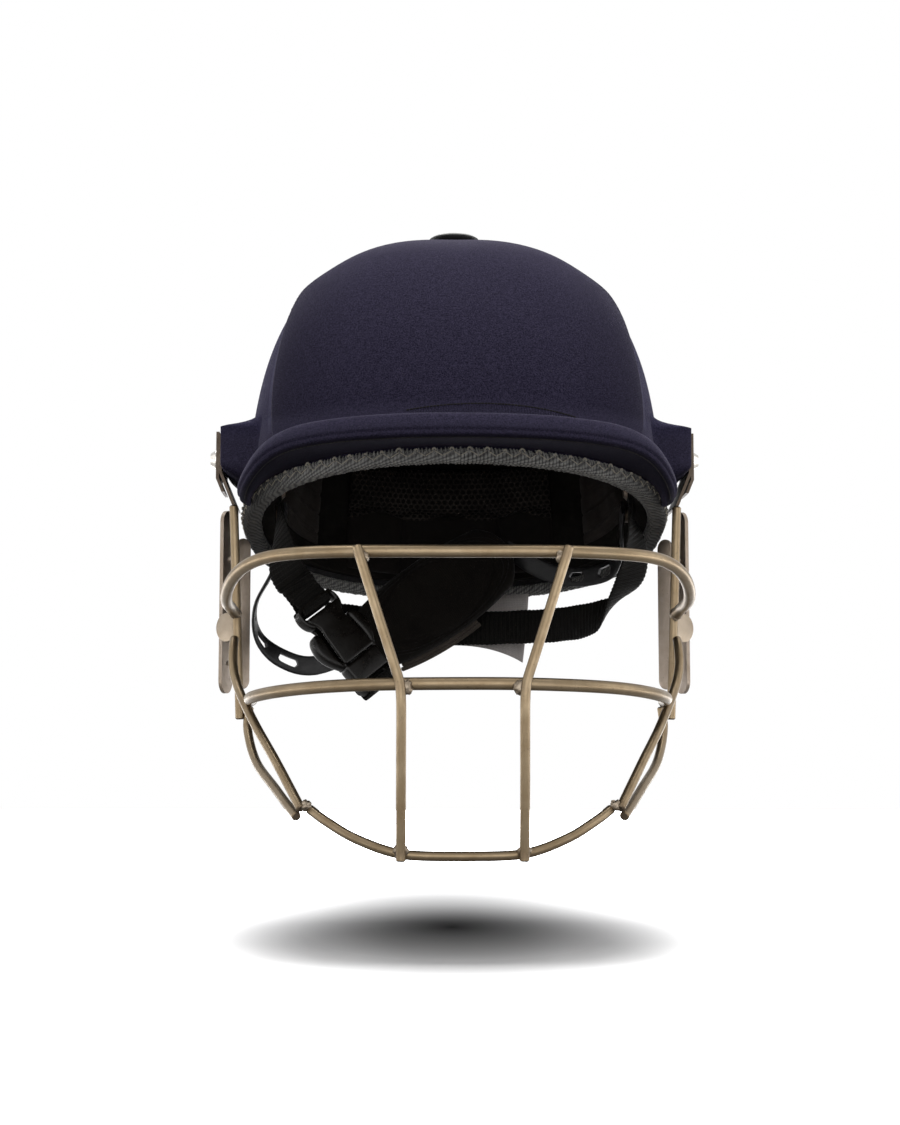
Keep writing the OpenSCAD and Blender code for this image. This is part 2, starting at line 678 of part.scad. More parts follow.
// Chin strap halves, as stations of [place, direction across]
left_route = [[[-side_x, strap_y, strap_top_z], [0, -1, 0]],
    [[0.7 - side_x, strap_y - 7, -10], [0.3, -0.95, 0.1]],
    [[3.2 - side_x, strap_y - 17, -28], [0.75, -0.45, 0.4]], [[-75.5, -38, -40], [0.75, 0.05, 0.6]],
    [buckle_at + 5.6 * buckle_up, buckle_out]];
right_end = buckle_at + (male_low + 1.5) * buckle_up
    - (male_t / 2 + gap + strap_t + gap + strap_t / 2) * buckle_face;
right_route = [[[side_x, strap_y, strap_top_z], [0, -1, 0]],
    [[side_x + 0.8, strap_y - 5, -8], [0, -1, 0]],
    [[side_x - 0.2, strap_y + 2, -26], [-0.6, -0.75, -0.25]],
    [[side_x - 5.2, 6, -39], [-0.75, -0.3, -0.6]], [[72, 32, -46], [-0.3, 0.1, -0.95]],
    [[58, 54, -49.5], [0, 0.1, -1]], [[36, 75, -51], [0, 0, -1]], [[8, 88, -52], [0, 0, -1]],
    [[-24, 90, -51], [0, 0, -1]],
    [[-50, 81, -49], [0, 0, -1]], [[-64, 62, -49], [0, 0, -1]], [[-64, 38, -53], [-0.1, 0, -1]],
    [[-59, 12, -60], [-0.2, 0.2, -0.95]], [[-51, -10, -69], [-0.45, 0.2, -0.85]],
    [[-43, -25, -79], [-0.7, -0.1, -0.7]], [right_end, -buckle_out]];

module left_strap() {
    color(BLACK) strap(smooth_stations(left_route, 3), strap_w, strap_t);
}
module right_strap() {
    color(BLACK) strap(smooth_stations(right_route, 2), strap_w, strap_t);
}

// Rivets that hold the straps to the liner's side
module strap_rivets() {
    color("silver") on_both_sides() translate([side_x - strap_t / 2 - 2 * gap, strap_y, strap_top_z])
        rotate([0, -90, 0]) cylinder(d1 = 9, d2 = 6, h = 1.5, $fn = 32);
}

// Side release buckle
module in_buckle_frame() {
    translate(buckle_at) rotate([0, -buckle_roll, 0]) rotate([90, 0, buckle_turn]) children();
}
// A rectangle with round corners, as exact shapes
module round_rect(x0, x1, y0, y1, r) {
    translate([x0 + r, y0]) square([x1 - x0 - 2 * r, y1 - y0]);
    translate([x0, y0 + r]) square([x1 - x0, y1 - y0 - 2 * r]);
    for (x = [x0 + r, x1 - r], y = [y0 + r, y1 - r]) translate([x, y]) circle(r = r, $fn = 32);
}
slot_w = strap_w + 0.8;
slot_h = 3.2;
bar_h = 3;
module female_outline() {
    half = buckle_w / 2;
    round_rect(-half + 1, half - 1, -5, 5, 3);
    round_rect(-half, half, female_low, -4, 3);
}
module buckle_female() {
    half_t = buckle_t / 2;
    color(BLACK) in_buckle_frame() difference() {
        translate([0, 0, -half_t]) linear_extrude(height = buckle_t) female_outline();
        translate([-slot_w / 2, -slot_h / 2, -half_t - 1]) cube([slot_w, slot_h, buckle_t + 2]);
        translate([-buckle_w / 2 + wall, female_low - 1, -half_t + 2])
            cube([buckle_w - 2 * wall, -female_low - 5, buckle_t - 4]);
    }
}
module buckle_male() {
    half = buckle_w / 2 - 2;
    arm = 3.2;
    arm_t = buckle_t - 4 - 2 * gap;
    arm_x = buckle_w / 2 - wall - gap - arm;
    top = female_low - gap;
    arm_top = -9;
    color(BLACK) in_buckle_frame() {
        difference() {
            translate([0, 0, -male_t / 2]) linear_extrude(height = male_t)
                round_rect(-half, half, male_low, top, 2.5);
            translate([-slot_w / 2, male_low + bar_h, -male_t / 2 - 1]) cube([slot_w, slot_h, male_t + 2]);
        }
        for (x = [-arm_x - arm, arm_x])
            translate([x, top - 1, -arm_t / 2]) cube([arm, arm_top - top + 1, arm_t]);
        translate([-3.5, top - 1, -arm_t / 2]) cube([7, arm_top - top + 1, arm_t]);
    }
}
// The end of the strap, folded round the male half's bar
module strap_loop() {
    color(BLACK) in_buckle_frame() translate([-strap_w / 2, 0, 0]) rotate([90, 0, 90])
        linear_extrude(height = strap_w) difference() {
            loop_outline(gap + strap_t, 2);
            loop_outline(gap, 1);
        }
}
module loop_outline(off, r) {
    round_rect(male_low - off, male_low + bar_h + off, -male_t / 2 - off, male_t / 2 + off, r);
}

// Neck cradle
module in_cradle_frame() {
    translate(cradle_at) rotate([0, cradle_roll, 0]) children();
}
function cradle_world(a, y, b) = cradle_at
    + [a * cos(cradle_roll) + b * sin(cradle_roll), y, b * cos(cradle_roll) - a * sin(cradle_roll)];
function cradle_y(a) = -a * a / (2 * cradle_bend);

// A pillow or plate bent round the neck; full gives its thickness at each point
module cradle_slab(w, h, back_y, t, cols, rows, edge) {
    grid = function (front) [for (r = [0 : rows]) [for (c = [0 : cols])
        let (u = 2 * c / cols - 1, v = 2 * r / rows - 1, a = w / 2 * u * sqrt(1 - 0.35 * v * v),
            b = h / 2 * v * sqrt(1 - 0.35 * u * u), k = 1 - edge * max(pow(u, 4), pow(v, 4)))
        [a, cradle_y(a) + back_y - front * t * k, b]]];
    slab(grid(1), grid(0));
}
module cradle_pad() {
    color(BLACK) in_cradle_frame() cradle_slab(cradle_w, cradle_h, 0, cradle_pad_t, 10, 6, 0.6);
}
module cradle_frame() {
    color(CHARCOAL) in_cradle_frame()
        cradle_slab(cradle_w - 4, cradle_h - 6, frame_t + gap, frame_t, 8, 4, 0);
}

// The bands run from the pivots beside the temples to the frame's ends
frame_end = cradle_w / 2 - 2;
band_y = cradle_y(frame_end) + gap + frame_t / 2;
left_band_route = [[[-band_pivot[0], band_pivot[1], band_pivot[2] + 5], [0, 1, 0]],
    [[-band_pivot[0], band_pivot[1], band_pivot[2] - 6], [0, 1, 0]],
    [[-side_x - 3.8, 7, -28], [0, 1, 0.1]], [[-side_x - 13.3, 14, -47], [0, 1, 0.2]],
    [[-side_x - 12.3, 23, -64], [0.2, 0.8, 0.5]], [[-side_x - 1.3, 34, -76], [0.3, 0.3, 0.9]],
    [[-70, 46, -79], [0.1, 0, 1]], [cradle_world(-frame_end - 1.5, band_y, 0), [-0.57, 0, 0.82]]];
right_band_route = [[band_pivot - [0, 3, -3], [0, 0.8, 0.7]], [band_pivot + [0, 5, -5], [0, 0.8, 0.7]],
    [[side_x - 1.2, 18, -20], [0, 0.8, 0.6]], [[side_x - 7.2, 32, -27], [-0.2, 0.3, 0.9]],
    [[62, 48, -28], [0, 0, 1]], [[45, 58, -22], [-0.3, 0, 1]],
    [cradle_world(frame_end + 1.5, band_y, 0), [-0.57, 0, 0.82]]];
module left_band() {
    color(BLACK) strap(smooth_stations(left_band_route, 3), band_w, band_t);
}
module right_band() {
    color(BLACK) strap(smooth_stations(right_band_route, 3), band_w, band_t);
}

// Round pivots that the cradle swings on, seated on the liner
module band_pivots() {
    from_x = band_pivot[0] + band_t / 2 + gap;
    color("silver") on_both_sides() translate([from_x, band_pivot[1], band_pivot[2]])
        rotate([0, 90, 0]) cylinder(r = 4, h = half_w - liner_in_d - 2 * gap - from_x, $fn = 48);
}

outer_shell();
shell_cover();
foam_liner();
crown_pad();
forehead_pad();
left_temple_pad();
right_temple_pad();
rear_pad();
neck_flap();
edge_trim();
peak_core();
peak_cover();
vent_button();
button_mesh();
left_clamp_plate();
right_clamp_plate();
grille_screws();
screw_washers();
screw_nuts();
left_hinge_tab();
right_hinge_tab();
top_bar();
middle_bar();
bottom_bar();
left_upright();
right_upright();
left_post();
right_post();
left_outer_strip();
right_outer_strip();
left_inner_strip();
right_inner_strip();
left_jaw_bar();
right_jaw_bar();
left_rear_jaw_bar();
right_rear_jaw_bar();
left_side_tab();
right_side_tab();
left_side_ties();
right_side_ties();
weld_beads();
left_strap();
right_strap();
strap_rivets();
buckle_female();
buckle_male();
strap_loop();
left_band();
right_band();
band_pivots();
cradle_frame();
cradle_pad();
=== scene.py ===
"""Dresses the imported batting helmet: cloth cover, binding, pads, straps, buckle, grille and their looks.

All points are in millimetres in the row frame (front is -Y, up is +Z) until a mesh is made.
"""
import math

import bmesh
import bpy
import numpy as np
from mathutils import Matrix, Vector
from numpy.linalg import norm


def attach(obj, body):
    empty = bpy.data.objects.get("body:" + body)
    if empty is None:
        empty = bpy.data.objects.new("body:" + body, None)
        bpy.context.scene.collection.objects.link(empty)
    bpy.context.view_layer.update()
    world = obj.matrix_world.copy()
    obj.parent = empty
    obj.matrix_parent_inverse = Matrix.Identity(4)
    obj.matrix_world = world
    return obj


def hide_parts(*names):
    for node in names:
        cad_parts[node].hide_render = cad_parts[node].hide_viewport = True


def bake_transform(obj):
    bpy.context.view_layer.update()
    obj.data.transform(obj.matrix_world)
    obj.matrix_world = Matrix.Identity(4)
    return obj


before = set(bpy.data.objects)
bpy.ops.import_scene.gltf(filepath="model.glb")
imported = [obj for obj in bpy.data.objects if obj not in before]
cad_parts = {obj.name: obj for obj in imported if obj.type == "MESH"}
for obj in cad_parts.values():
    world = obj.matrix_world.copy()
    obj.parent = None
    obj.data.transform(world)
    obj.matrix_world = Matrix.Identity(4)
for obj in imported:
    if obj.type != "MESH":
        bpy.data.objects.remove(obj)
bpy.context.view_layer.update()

MM = 0.001

# Sizes repeated from the part's source
HALF_W, FRONT_LEN, REAR_LEN, CROWN_H = 102.0, 118.0, 124.0, 133.0
RIM_FRONT_Z, RIM_DROP, TRIM_H, TRIM_OUT, TRIM_IN = 12.0, 40.0, 6.0, 0.6, 7.3
SHELL_D, SHELL_IN_D, LINER_D, LINER_IN_D, PADS_D, PAD_T = 1.5, 5.0, 5.6, 13.6, 14.5, 7.0
PEAK_REACH, PEAK_END, LIP_R, LIP_Z, LIP_DROP, PEAK_RISE, PEAK_ANGLE = 42.0, 2.0, 5.5, 15.8, 17.0, 11.0, 62.0
LUG_X, PIVOT_Y, LUG_HALF, LUG_SLOPE, LUG_LOW, LUG_HIGH, LUG_FOOT = 111.0, -20.0, 20.0, 9.0, 16.0, 34.0, 12.0
VENT_R, BUTTON_R, BUTTON_H = 7.0, 12.5, 5.5
BAR_D, WIRE_D, TOP_Z, MIDDLE_Z, BOTTOM_Z, GRILLE_FRONT = 5.4, 4.2, -36.5, -91.5, -162.5, 150.0
POST_X, POST_LOW_X, POST_Y, SIDE_X = 105.5, 101.5, -34.0, 85.2
STRAP_W, STRAP_T, BAND_W, BAND_T = 18.0, 1.6, 10.0, 1.8
BUCKLE_AT, BUCKLE_ROLL, BUCKLE_TURN = np.array([-64.6, -42.0, -53.0]), math.radians(40), math.radians(30)
CRADLE_AT, CRADLE_ROLL = np.array([-8.0, 74.0, -37.0]), math.radians(-35)

# Sizes of the visible pieces alone
CLOTH_T = 1.2
RIB, ZIGZAG, WEB_RIB = 1.65, 3.8, 2.6
COVER_WALL_TOP, LINER_WALL_TOP, CROWN_PAD_LOW = 86.0, 92.0, 84.0
CUSHION_W, CUSHION_H, CUSHION_T = 92.0, 44.0, 11.0
CREASE_Y, CREASE_Z, CREASE_SLOPE, CREASE_BEND_Z, CREASE_BEND = -66.0, 32.0, 0.4, 60.0, 0.0075


# Small maths

def ramp(v, a, b):
    t = np.clip((np.asarray(v, float) - a) / (b - a), 0, 1)
    return t * t * (3 - 2 * t)


def bell(v, width):
    return np.exp(-(v / width) ** 2)


def unit(v):
    v = np.asarray(v, float)
    return v / np.maximum(norm(v, axis=-1, keepdims=True), 1e-9)


def full_turn(count):
    return np.linspace(0, 2 * math.pi, count, endpoint=False)


def half_row(count):
    return np.linspace(-1, 1, count)[None, :]


def signed_power(v, n):
    return np.sign(v) * np.abs(v) ** n


def ripple(points, size, seed):
    """Smooth noise of about -1 to 1 whose features are about size millimetres across."""
    rng = np.random.default_rng(seed)
    total, waves = 0, 7
    for _ in range(waves):
        direction = unit(rng.normal(size=3)) * 2 * math.pi / (size * rng.uniform(0.7, 1.6))
        total = total + np.sin(np.asarray(points) @ direction + rng.uniform(0, 7))
    return total / math.sqrt(waves) / 1.3


def lengths(points):
    """Each point's distance along the line from its start."""
    return np.concatenate([[0], np.cumsum(norm(np.diff(points, axis=0), axis=1))])


def smooth(points, steps):
    """A smooth curve through given points, as the source draws it."""
    p = np.asarray(points, float)
    ext = np.concatenate([p[:1], p, p[-1:]])
    t = np.arange(steps)[:, None] / steps
    rows = [0.5 * (2 * b + (c - a) * t + (2 * a - 5 * b + 4 * c - d) * t ** 2
                   + (3 * b - a - 3 * c + d) * t ** 3)
            for a, b, c, d in zip(ext, ext[1:], ext[2:], ext[3:])]
    return np.concatenate(rows + [p[-1:]])


def corner(a, b, c, radius, share, steps=6):
    """Points of a short curve at b from the line a to b onto the line b to c."""
    cut = min(radius, share * norm(a - b), share * norm(c - b))
    start, end = b + unit(a - b) * cut, b + unit(c - b) * cut
    return [(1 - t) ** 2 * start + 2 * t * (1 - t) * b + t * t * end for t in np.linspace(0, 1, steps)]


def rounded(points, radius):
    """A polyline whose corners are turned on short curves."""
    p = np.asarray(points, float)
    turns = [q for a, b, c in zip(p, p[1:], p[2:]) for q in corner(a, b, c, radius, 0.45)]
    return np.array([p[0], *turns, p[-1]])


def round_corners(points, radius, steps=6):
    """A closed 2D outline with round corners; radius may be one number or one for each corner."""
    p = np.asarray(points, float)
    radii = np.broadcast_to(np.asarray(radius, float), (len(p),))
    corners = zip(np.roll(p, 1, axis=0), p, np.roll(p, -1, axis=0), radii)
    return np.array([q for a, b, c, r in corners for q in corner(a, b, c, r, 0.48, steps)])


def box_outline(x, y0, y1, radius):
    return round_corners([(-x, y0), (x, y0), (x, y1), (-x, y1)], radius)


def both_ways(points):
    """A closed outline from its right half, listed from top to bottom."""
    return list(points) + [(-x, y) for x, y in reversed(points)]


def resample(points, step):
    """The same line with points about step apart; also returns each point's length along it."""
    p = np.asarray(points, float)
    s = lengths(p)
    at = np.linspace(0, s[-1], max(int(math.ceil(s[-1] / step)), 2) + 1)
    return np.stack([np.interp(at, s, p[:, k]) for k in range(3)], axis=1), at


def mirrored(points):
    return np.asarray(points, float) * [-1, 1, 1]


def frame_matrix(at, x_axis, y_axis):
    """From a piece's own frame, given by its place and its x and y directions, to the row frame."""
    axes = (x_axis, y_axis, np.cross(x_axis, y_axis))
    turn = Matrix([[float(v) for v in axis] for axis in axes]).transposed()
    return Matrix.Translation(Vector(at)) @ turn.to_4x4()


# The helmet's form, as in the source

def on_ray(th, r, z):
    a = np.radians(th)
    return np.stack(np.broadcast_arrays(r * np.sin(a), -r * np.cos(a), z), axis=-1)


def plan_r(th, d):
    a = np.radians(th)
    length = np.where(np.cos(a) > 0, FRONT_LEN, REAR_LEN) - d
    return ((np.abs(np.sin(a)) / (HALF_W - d)) ** 2.2 + (np.abs(np.cos(a)) / length) ** 2.2) ** (-1 / 2.2)


def wall_r(th, z, d):
    """Distance of the dome's wall from the middle axis at a depth d below the cloth."""
    a = np.radians(th)
    power = 2.8 * np.sin(a) ** 2 + 2.1 * np.cos(a) ** 2
    up = (1 - 0.00055 * z) * (1 - np.clip(z / (CROWN_H - d), 0, 1) ** power) ** (1 / power)
    return plan_r(th, d) * np.where(z <= 0, 1 - 0.000023 * z * z, up)


def dome(th, z, d):
    return on_ray(th, wall_r(th, z, d), z)


def crown_rows(d, start, count):
    """Heights from the straight wall to the crown, closer together at the top."""
    return start + (CROWN_H - d - start) * np.sin(np.linspace(0, math.pi / 2, count + 1))[1:, None]


def rim_z(th):
    return RIM_FRONT_Z - RIM_DROP * (1 - np.cos(np.radians(th))) / 2


def lug_weight(y, z, inset):
    """How far the raised side faces stand out, from 0 to 1; inset draws their edges in for deeper layers."""
    top = (1 - np.clip((z - LUG_HIGH + inset) / 9, 0, 1)) ** 3
    low = ramp(z, LUG_LOW - LUG_FOOT + inset, LUG_LOW + inset)
    front = ramp(y, PIVOT_Y - LUG_HALF - LUG_SLOPE + inset, PIVOT_Y - LUG_HALF + inset)
    back = 1 - ramp(y, PIVOT_Y + LUG_HALF - inset, PIVOT_Y + LUG_HALF + LUG_SLOPE - inset)
    return front * back * low * top


def shell_point(th, z, d, inset=0.0):
    """The dome with its raised side faces, closed at the vent's edge."""
    r = wall_r(th, z, d)
    s = np.abs(np.sin(np.radians(th)))
    w = np.where(s > 0.5, lug_weight(-r * np.cos(np.radians(th)), z, inset), 0)
    p = on_ray(th, r + w * np.maximum((LUG_X - d) / np.maximum(s, 0.5) - r, 0), z)
    p[-1] = on_ray(th[0], VENT_R, CROWN_H - d)
    return p


def crease_y(z):
    return CREASE_Y + CREASE_SLOPE * (z - CREASE_Z) + CREASE_BEND * np.maximum(z - CREASE_BEND_Z, 0) ** 2


def crease_lift(p):
    """The centre panel of the cover stands proud of the side panels along a crease on each side."""
    behind = p[..., 1] - crease_y(p[..., 2])
    lift = (1 - ramp(behind, -1.0, 1.2)) * (1 - ramp(-behind, 1, 34))
    side = ramp(np.abs(p[..., 0]), 40, 60)
    return 2.4 * lift * side * ramp(p[..., 2], 14, 30) * (1 - ramp(p[..., 2], 100, 122))


def peak_at(th):
    return PEAK_END + (PEAK_REACH - PEAK_END) * np.cos(np.radians(90 * th / (PEAK_ANGLE + 8))) ** 1.1


def lip_mid(th):
    return LIP_Z - LIP_DROP / (1 + (44 / np.maximum(np.abs(th), 1)) ** 8)


def peak_point(th, u, z):
    return on_ray(th, wall_r(th, z, 0) + u, z)


def bar_y(x, half, end_y, n):
    return end_y - (GRILLE_FRONT + end_y) * (1 - np.clip(np.abs(x / half), 0, 1) ** n) ** (1 / n)


def bar_path(half, end_y, n, z, fall, power, steps=40):
    a = np.radians(90 * np.arange(-steps, steps + 1) / steps)
    x = half * signed_power(np.sin(a), 2 / n)
    return np.stack([x, bar_y(x, half, end_y, n), z - fall * np.abs(np.sin(a)) ** power], axis=1)


# Mesh building

class Form:
    """Collects grids, tubes and faces, then becomes one mesh."""

    def __init__(self):
        self.points, self.faces, self.uvs, self.tags, self.count = [], [], [], [], 0

    def quads(self, corners, uv=None):
        self.faces.append(np.asarray(corners, int).reshape(-1, 4))
        self.uvs.append(np.zeros((self.faces[-1].size, 2)) if uv is None else uv.reshape(-1, 2))

    def grid(self, points, wrap=False, turn=False, uv=None, tag=0.0):
        """Faces over points[row][column]; their front is column way cross row way, unless turned."""
        points = np.asarray(points, float)
        rows, cols = points.shape[:2]
        start = self.count
        self.points.append(points.reshape(-1, 3))
        self.tags.append(np.broadcast_to(np.asarray(tag, float).reshape(-1), (rows * cols,)))
        self.count += rows * cols
        r, c = np.meshgrid(np.arange(rows - 1), np.arange(cols if wrap else cols - 1), indexing="ij")
        n = (c + 1) % cols
        corners = np.stack([r * cols + c, r * cols + n, (r + 1) * cols + n, (r + 1) * cols + c], axis=-1)
        if uv is None:
            across = norm(np.diff(points, axis=1, append=points[:, :1]), axis=2).mean(axis=0)
            along = norm(np.diff(points, axis=0), axis=2).mean(axis=1)
            uv = (np.concatenate([[0], np.cumsum(across)])[None, :],
                  np.concatenate([[0], np.cumsum(along)])[:, None])
        u, v = (np.broadcast_to(k, (rows, cols + 1)) for k in uv)
        at = [(r, c), (r, c + 1), (r + 1, c + 1), (r + 1, c)]
        uvs = np.stack([np.stack([u[a], v[a]], axis=-1) for a in at], axis=-2)
        if turn:
            corners, uvs = corners[..., ::-1], uvs[..., ::-1, :]
        self.quads(start + corners, uvs)
        return start

    def slab(self, outer, inner, wrap=False, uv=None):
        """A closed solid between two grids."""
        rows, cols = outer.shape[:2]
        a = self.grid(outer, wrap, uv=uv)
        b = self.grid(inner, wrap, turn=True, uv=uv)
        c = np.arange(cols if wrap else cols - 1)
        n = (c + 1) % cols
        last = (rows - 1) * cols
        self.quads(np.stack([b + c, b + n, a + n, a + c], axis=-1))
        self.quads(np.stack([a + last + c, a + last + n, b + last + n, b + last + c], axis=-1))
        if not wrap:
            r = np.arange(rows - 1) * cols
            e = r + cols - 1
            self.quads(np.stack([a + r, a + r + cols, b + r + cols, b + r], axis=-1))
            self.quads(np.stack([b + e, b + e + cols, a + e + cols, a + e], axis=-1))
        return self

    def rings(self, rings, loop=False, uv=None, tag=0.0):
        """A closed tube through rings of points, capped at both ends or joined into a loop."""
        rings = np.asarray(rings, float)
        if loop:
            rings = np.concatenate([rings, rings[:1]])
        start = self.grid(rings, wrap=True, uv=uv, tag=tag)
        rows, cols = rings.shape[:2]
        if not loop:
            for cap in (start + np.arange(cols)[::-1], start + (rows - 1) * cols + np.arange(cols)):
                self.faces.append(cap[None])
                self.uvs.append(np.zeros((cols, 2)))
        return self

    def tube(self, path, radius, sides=20, cap=0.35, tag=0.0):
        """A round wire along a path with softened ends."""
        path = np.asarray(path, float)
        radius = np.broadcast_to(np.asarray(radius, float), (len(path),))
        t = unit(np.gradient(path, axis=0))
        u, side = [], np.cross(t[0], [0.3, 0.1, 1])
        for way in t:
            side = unit(side - way * (side @ way))
            u.append(side)
        u = np.array(u)
        v = np.cross(t, u)
        if cap:
            soft = cap * radius[0]
            path = np.concatenate([path[:1], [path[0] + t[0] * soft], path[1:-1],
                                   [path[-1] - t[-1] * soft], path[-1:]])
            radius = np.concatenate([[radius[0] - soft], radius, [radius[-1] - soft]])
            u, v = (np.concatenate([w[:1], w, w[-1:]]) for w in (u, v))
        a = full_turn(sides)
        ring = u[:, None] * np.cos(a)[None, :, None] + v[:, None] * np.sin(a)[None, :, None]
        ring = path[:, None] + radius[:, None, None] * ring
        uv = (np.linspace(0, 2 * math.pi * radius.max(), sides + 1)[None, :], lengths(path)[:, None])
        if np.ndim(tag):
            tag = np.interp(np.linspace(0, 1, len(path)), np.linspace(0, 1, len(tag)), tag).repeat(sides)
        return self.rings(ring, uv=uv, tag=tag)

    def object(self, name, look, body="shell", slot=None, replaces=None, sharp=40, mark=None):
        mesh = bpy.data.meshes.new(name)
        points = np.concatenate(self.points) * MM
        sizes = np.concatenate([np.full(len(f), f.shape[1]) for f in self.faces])
        corners = np.concatenate([f.reshape(-1) for f in self.faces])
        mesh.vertices.add(len(points))
        mesh.vertices.foreach_set("co", points.astype(np.float32).reshape(-1))
        mesh.loops.add(len(corners))
        mesh.loops.foreach_set("vertex_index", corners.astype(np.int32))
        mesh.polygons.add(len(sizes))
        mesh.polygons.foreach_set("loop_start", np.concatenate([[0], np.cumsum(sizes)[:-1]]).astype(np.int32))
        uv = mesh.uv_layers.new(name="UVMap")
        mesh.update(calc_edges=True)
        uv.data.foreach_set("uv", np.concatenate(self.uvs).astype(np.float32).reshape(-1))
        if mark:
            layer = mesh.attributes.new(mark, "FLOAT", "POINT")
            layer.data.foreach_set("value", np.concatenate(self.tags).astype(np.float32))
        mesh.validate()
        return place(shade(mesh, sharp), name, look, body, replaces)


def add_object(name, data):
    obj = bpy.data.objects.new(name, data)
    scene.collection.objects.link(obj)
    return obj


def shade(mesh, sharp=35):
    mesh.shade_smooth()
    mesh.set_sharp_from_angle(angle=math.radians(sharp))
    return mesh


def place(mesh, name, look, body="shell", replaces=None):
    """Makes the object of a mesh with its look's material and hands it to the frame."""
    obj = add_object(name, mesh)
    mesh.materials.clear()
    mesh.materials.append(MATERIALS[look])
    if replaces:
        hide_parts(replaces)
    if body:
        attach(obj, body)
    return obj


def outline_mesh(outlines, thickness, bevel, matrix):
    """A plate cut from closed 2D outlines (the first is the rim, the others are holes) with rounded edges."""
    curve = bpy.data.curves.new("plate", "CURVE")
    curve.dimensions = "2D"
    curve.fill_mode = "BOTH"
    curve.extrude = thickness / 2 - bevel
    curve.bevel_depth = bevel
    curve.bevel_resolution = 2
    curve.offset = -bevel
    for outline in outlines:
        spline = curve.splines.new("POLY")
        spline.points.add(len(outline) - 1)
        for point, (x, y) in zip(spline.points, outline):
            point.co = (x, y, 0, 1)
        spline.use_cyclic_u = True
    temp = add_object("plate", curve)
    bpy.context.view_layer.update()
    mesh = bpy.data.meshes.new_from_object(temp)
    bpy.data.objects.remove(temp)
    bm = bmesh.new()
    bm.from_mesh(mesh)
    bmesh.ops.remove_doubles(bm, verts=bm.verts, dist=0.02)
    bmesh.ops.recalc_face_normals(bm, faces=bm.faces)
    bm.transform(matrix)
    bm.transform(Matrix.Scale(MM, 4))
    bm.to_mesh(mesh)
    bm.free()
    return shade(mesh)


# Shader graphs

MATERIALS = {}


class Field:
    """A socket in a node tree that can be added, multiplied and so on."""

    def __init__(self, graph, socket):
        self.graph, self.socket = graph, socket

    def __add__(self, other):
        return self.graph.math("ADD", self, other)

    def __sub__(self, other):
        return self.graph.math("SUBTRACT", self, other)

    def __rsub__(self, other):
        return self.graph.math("SUBTRACT", other, self)

    def __mul__(self, other):
        return self.graph.math("MULTIPLY", self, other)


class Tree:
    """Short names for the nodes of a material or a world."""

    def __init__(self, owner):
        owner.use_nodes = True
        self.tree = owner.node_tree
        self.tree.nodes.clear()

    def put(self, value, socket):
        if isinstance(value, Field):
            self.tree.links.new(value.socket, socket)
        elif isinstance(value, tuple) and len(value) == 3 and len(socket.default_value) == 4:
            socket.default_value = (*value, 1.0)
        else:
            socket.default_value = value

    def node(self, kind, inputs=(), out=0, **settings):
        """Adds a node, feeds its inputs by place or name and returns one of its outputs."""
        node = self.tree.nodes.new("ShaderNode" + kind)
        for key, value in settings.items():
            setattr(node, key, value)
        for key, value in inputs.items() if isinstance(inputs, dict) else enumerate(inputs):
            self.put(value, node.inputs[key])
        return Field(self, node.outputs[out]) if len(node.outputs) else None

    def math(self, op, *values):
        return self.node("Math", values, operation=op)

    def root(self, x, y):
        return self.math("SQRT", x * x + y * y)

    def xyz(self, at):
        return [Field(self, s) for s in self.node("SeparateXYZ", [at]).socket.node.outputs]

    def join(self, x, y, z=0.0):
        return self.node("CombineXYZ", (x, y, z))

    def coordinates(self):
        """The mesh's u and v, and a place in millimetres that stays with the piece."""
        place_ = {0: self.node("TexCoord", out="Object"), "Scale": 1000.0}
        u, v, _ = self.xyz(self.node("UVMap", uv_map="UVMap"))
        return u, v, self.node("VectorMath", place_, operation="SCALE")

    def rays(self):
        return [self.node("LightPath", out=f"Is {kind} Ray") for kind in ("Camera", "Glossy", "Transmission")]

    def noise(self, at, size, detail=2.0, rough=0.5, distortion=0.0):
        """Noise of 0 to 1 whose features are about size millimetres across."""
        return self.node("TexNoise", {"Vector": at, "Scale": 1.0 / size, "Detail": detail, "Roughness": rough,
                                      "Distortion": distortion})

    def step(self, value, low, high, out_low=0.0, out_high=1.0):
        """value from low to high becomes out_low to out_high, held at both ends."""
        return self.node("MapRange", (value, low, high, out_low, out_high))

    def near(self, value, inner, outer):
        """1 where value is within inner of 0, falling to 0 at outer."""
        return self.step(self.math("ABSOLUTE", value), inner, outer, 1, 0)

    def mix(self, share, a, b):
        return self.node("Mix", {0: share, 6: a, 7: b}, out=2, data_type="RGBA", clamp_factor=True)

    def wave(self, value, period):
        """0 to 1 to 0 over each period."""
        return self.math("SINE", value * (2 * math.pi / period)) * 0.5 + 0.5


class Graph(Tree):
    """One material with a Principled shader, whose colour is mixed up step by step in tone."""

    def __init__(self, name, Roughness=0.9, **constants):
        self.material = MATERIALS[name] = bpy.data.materials.new(name)
        super().__init__(self.material)
        constants["Roughness"] = Roughness
        inputs = {key.replace("_", " "): value for key, value in constants.items()}
        surface = self.node("BsdfPrincipled", inputs)
        self.shader = surface.socket.node
        self.node("OutputMaterial", {"Surface": surface})

    def tint(self, share, colour):
        self.tone = self.mix(share, self.tone, colour)

    def finish(self, roughness=None, height=None, depth=0.1):
        """Sets the colour, the roughness and bumps depth millimetres high where height goes from 0 to 1."""
        self.put(self.tone, self.shader.inputs["Base Color"])
        if height is not None:
            self.put(roughness, self.shader.inputs["Roughness"])
            bump = self.node("Bump", {"Strength": 1.0, "Distance": depth * MM, "Height": height})
            self.put(bump, self.shader.inputs["Normal"])


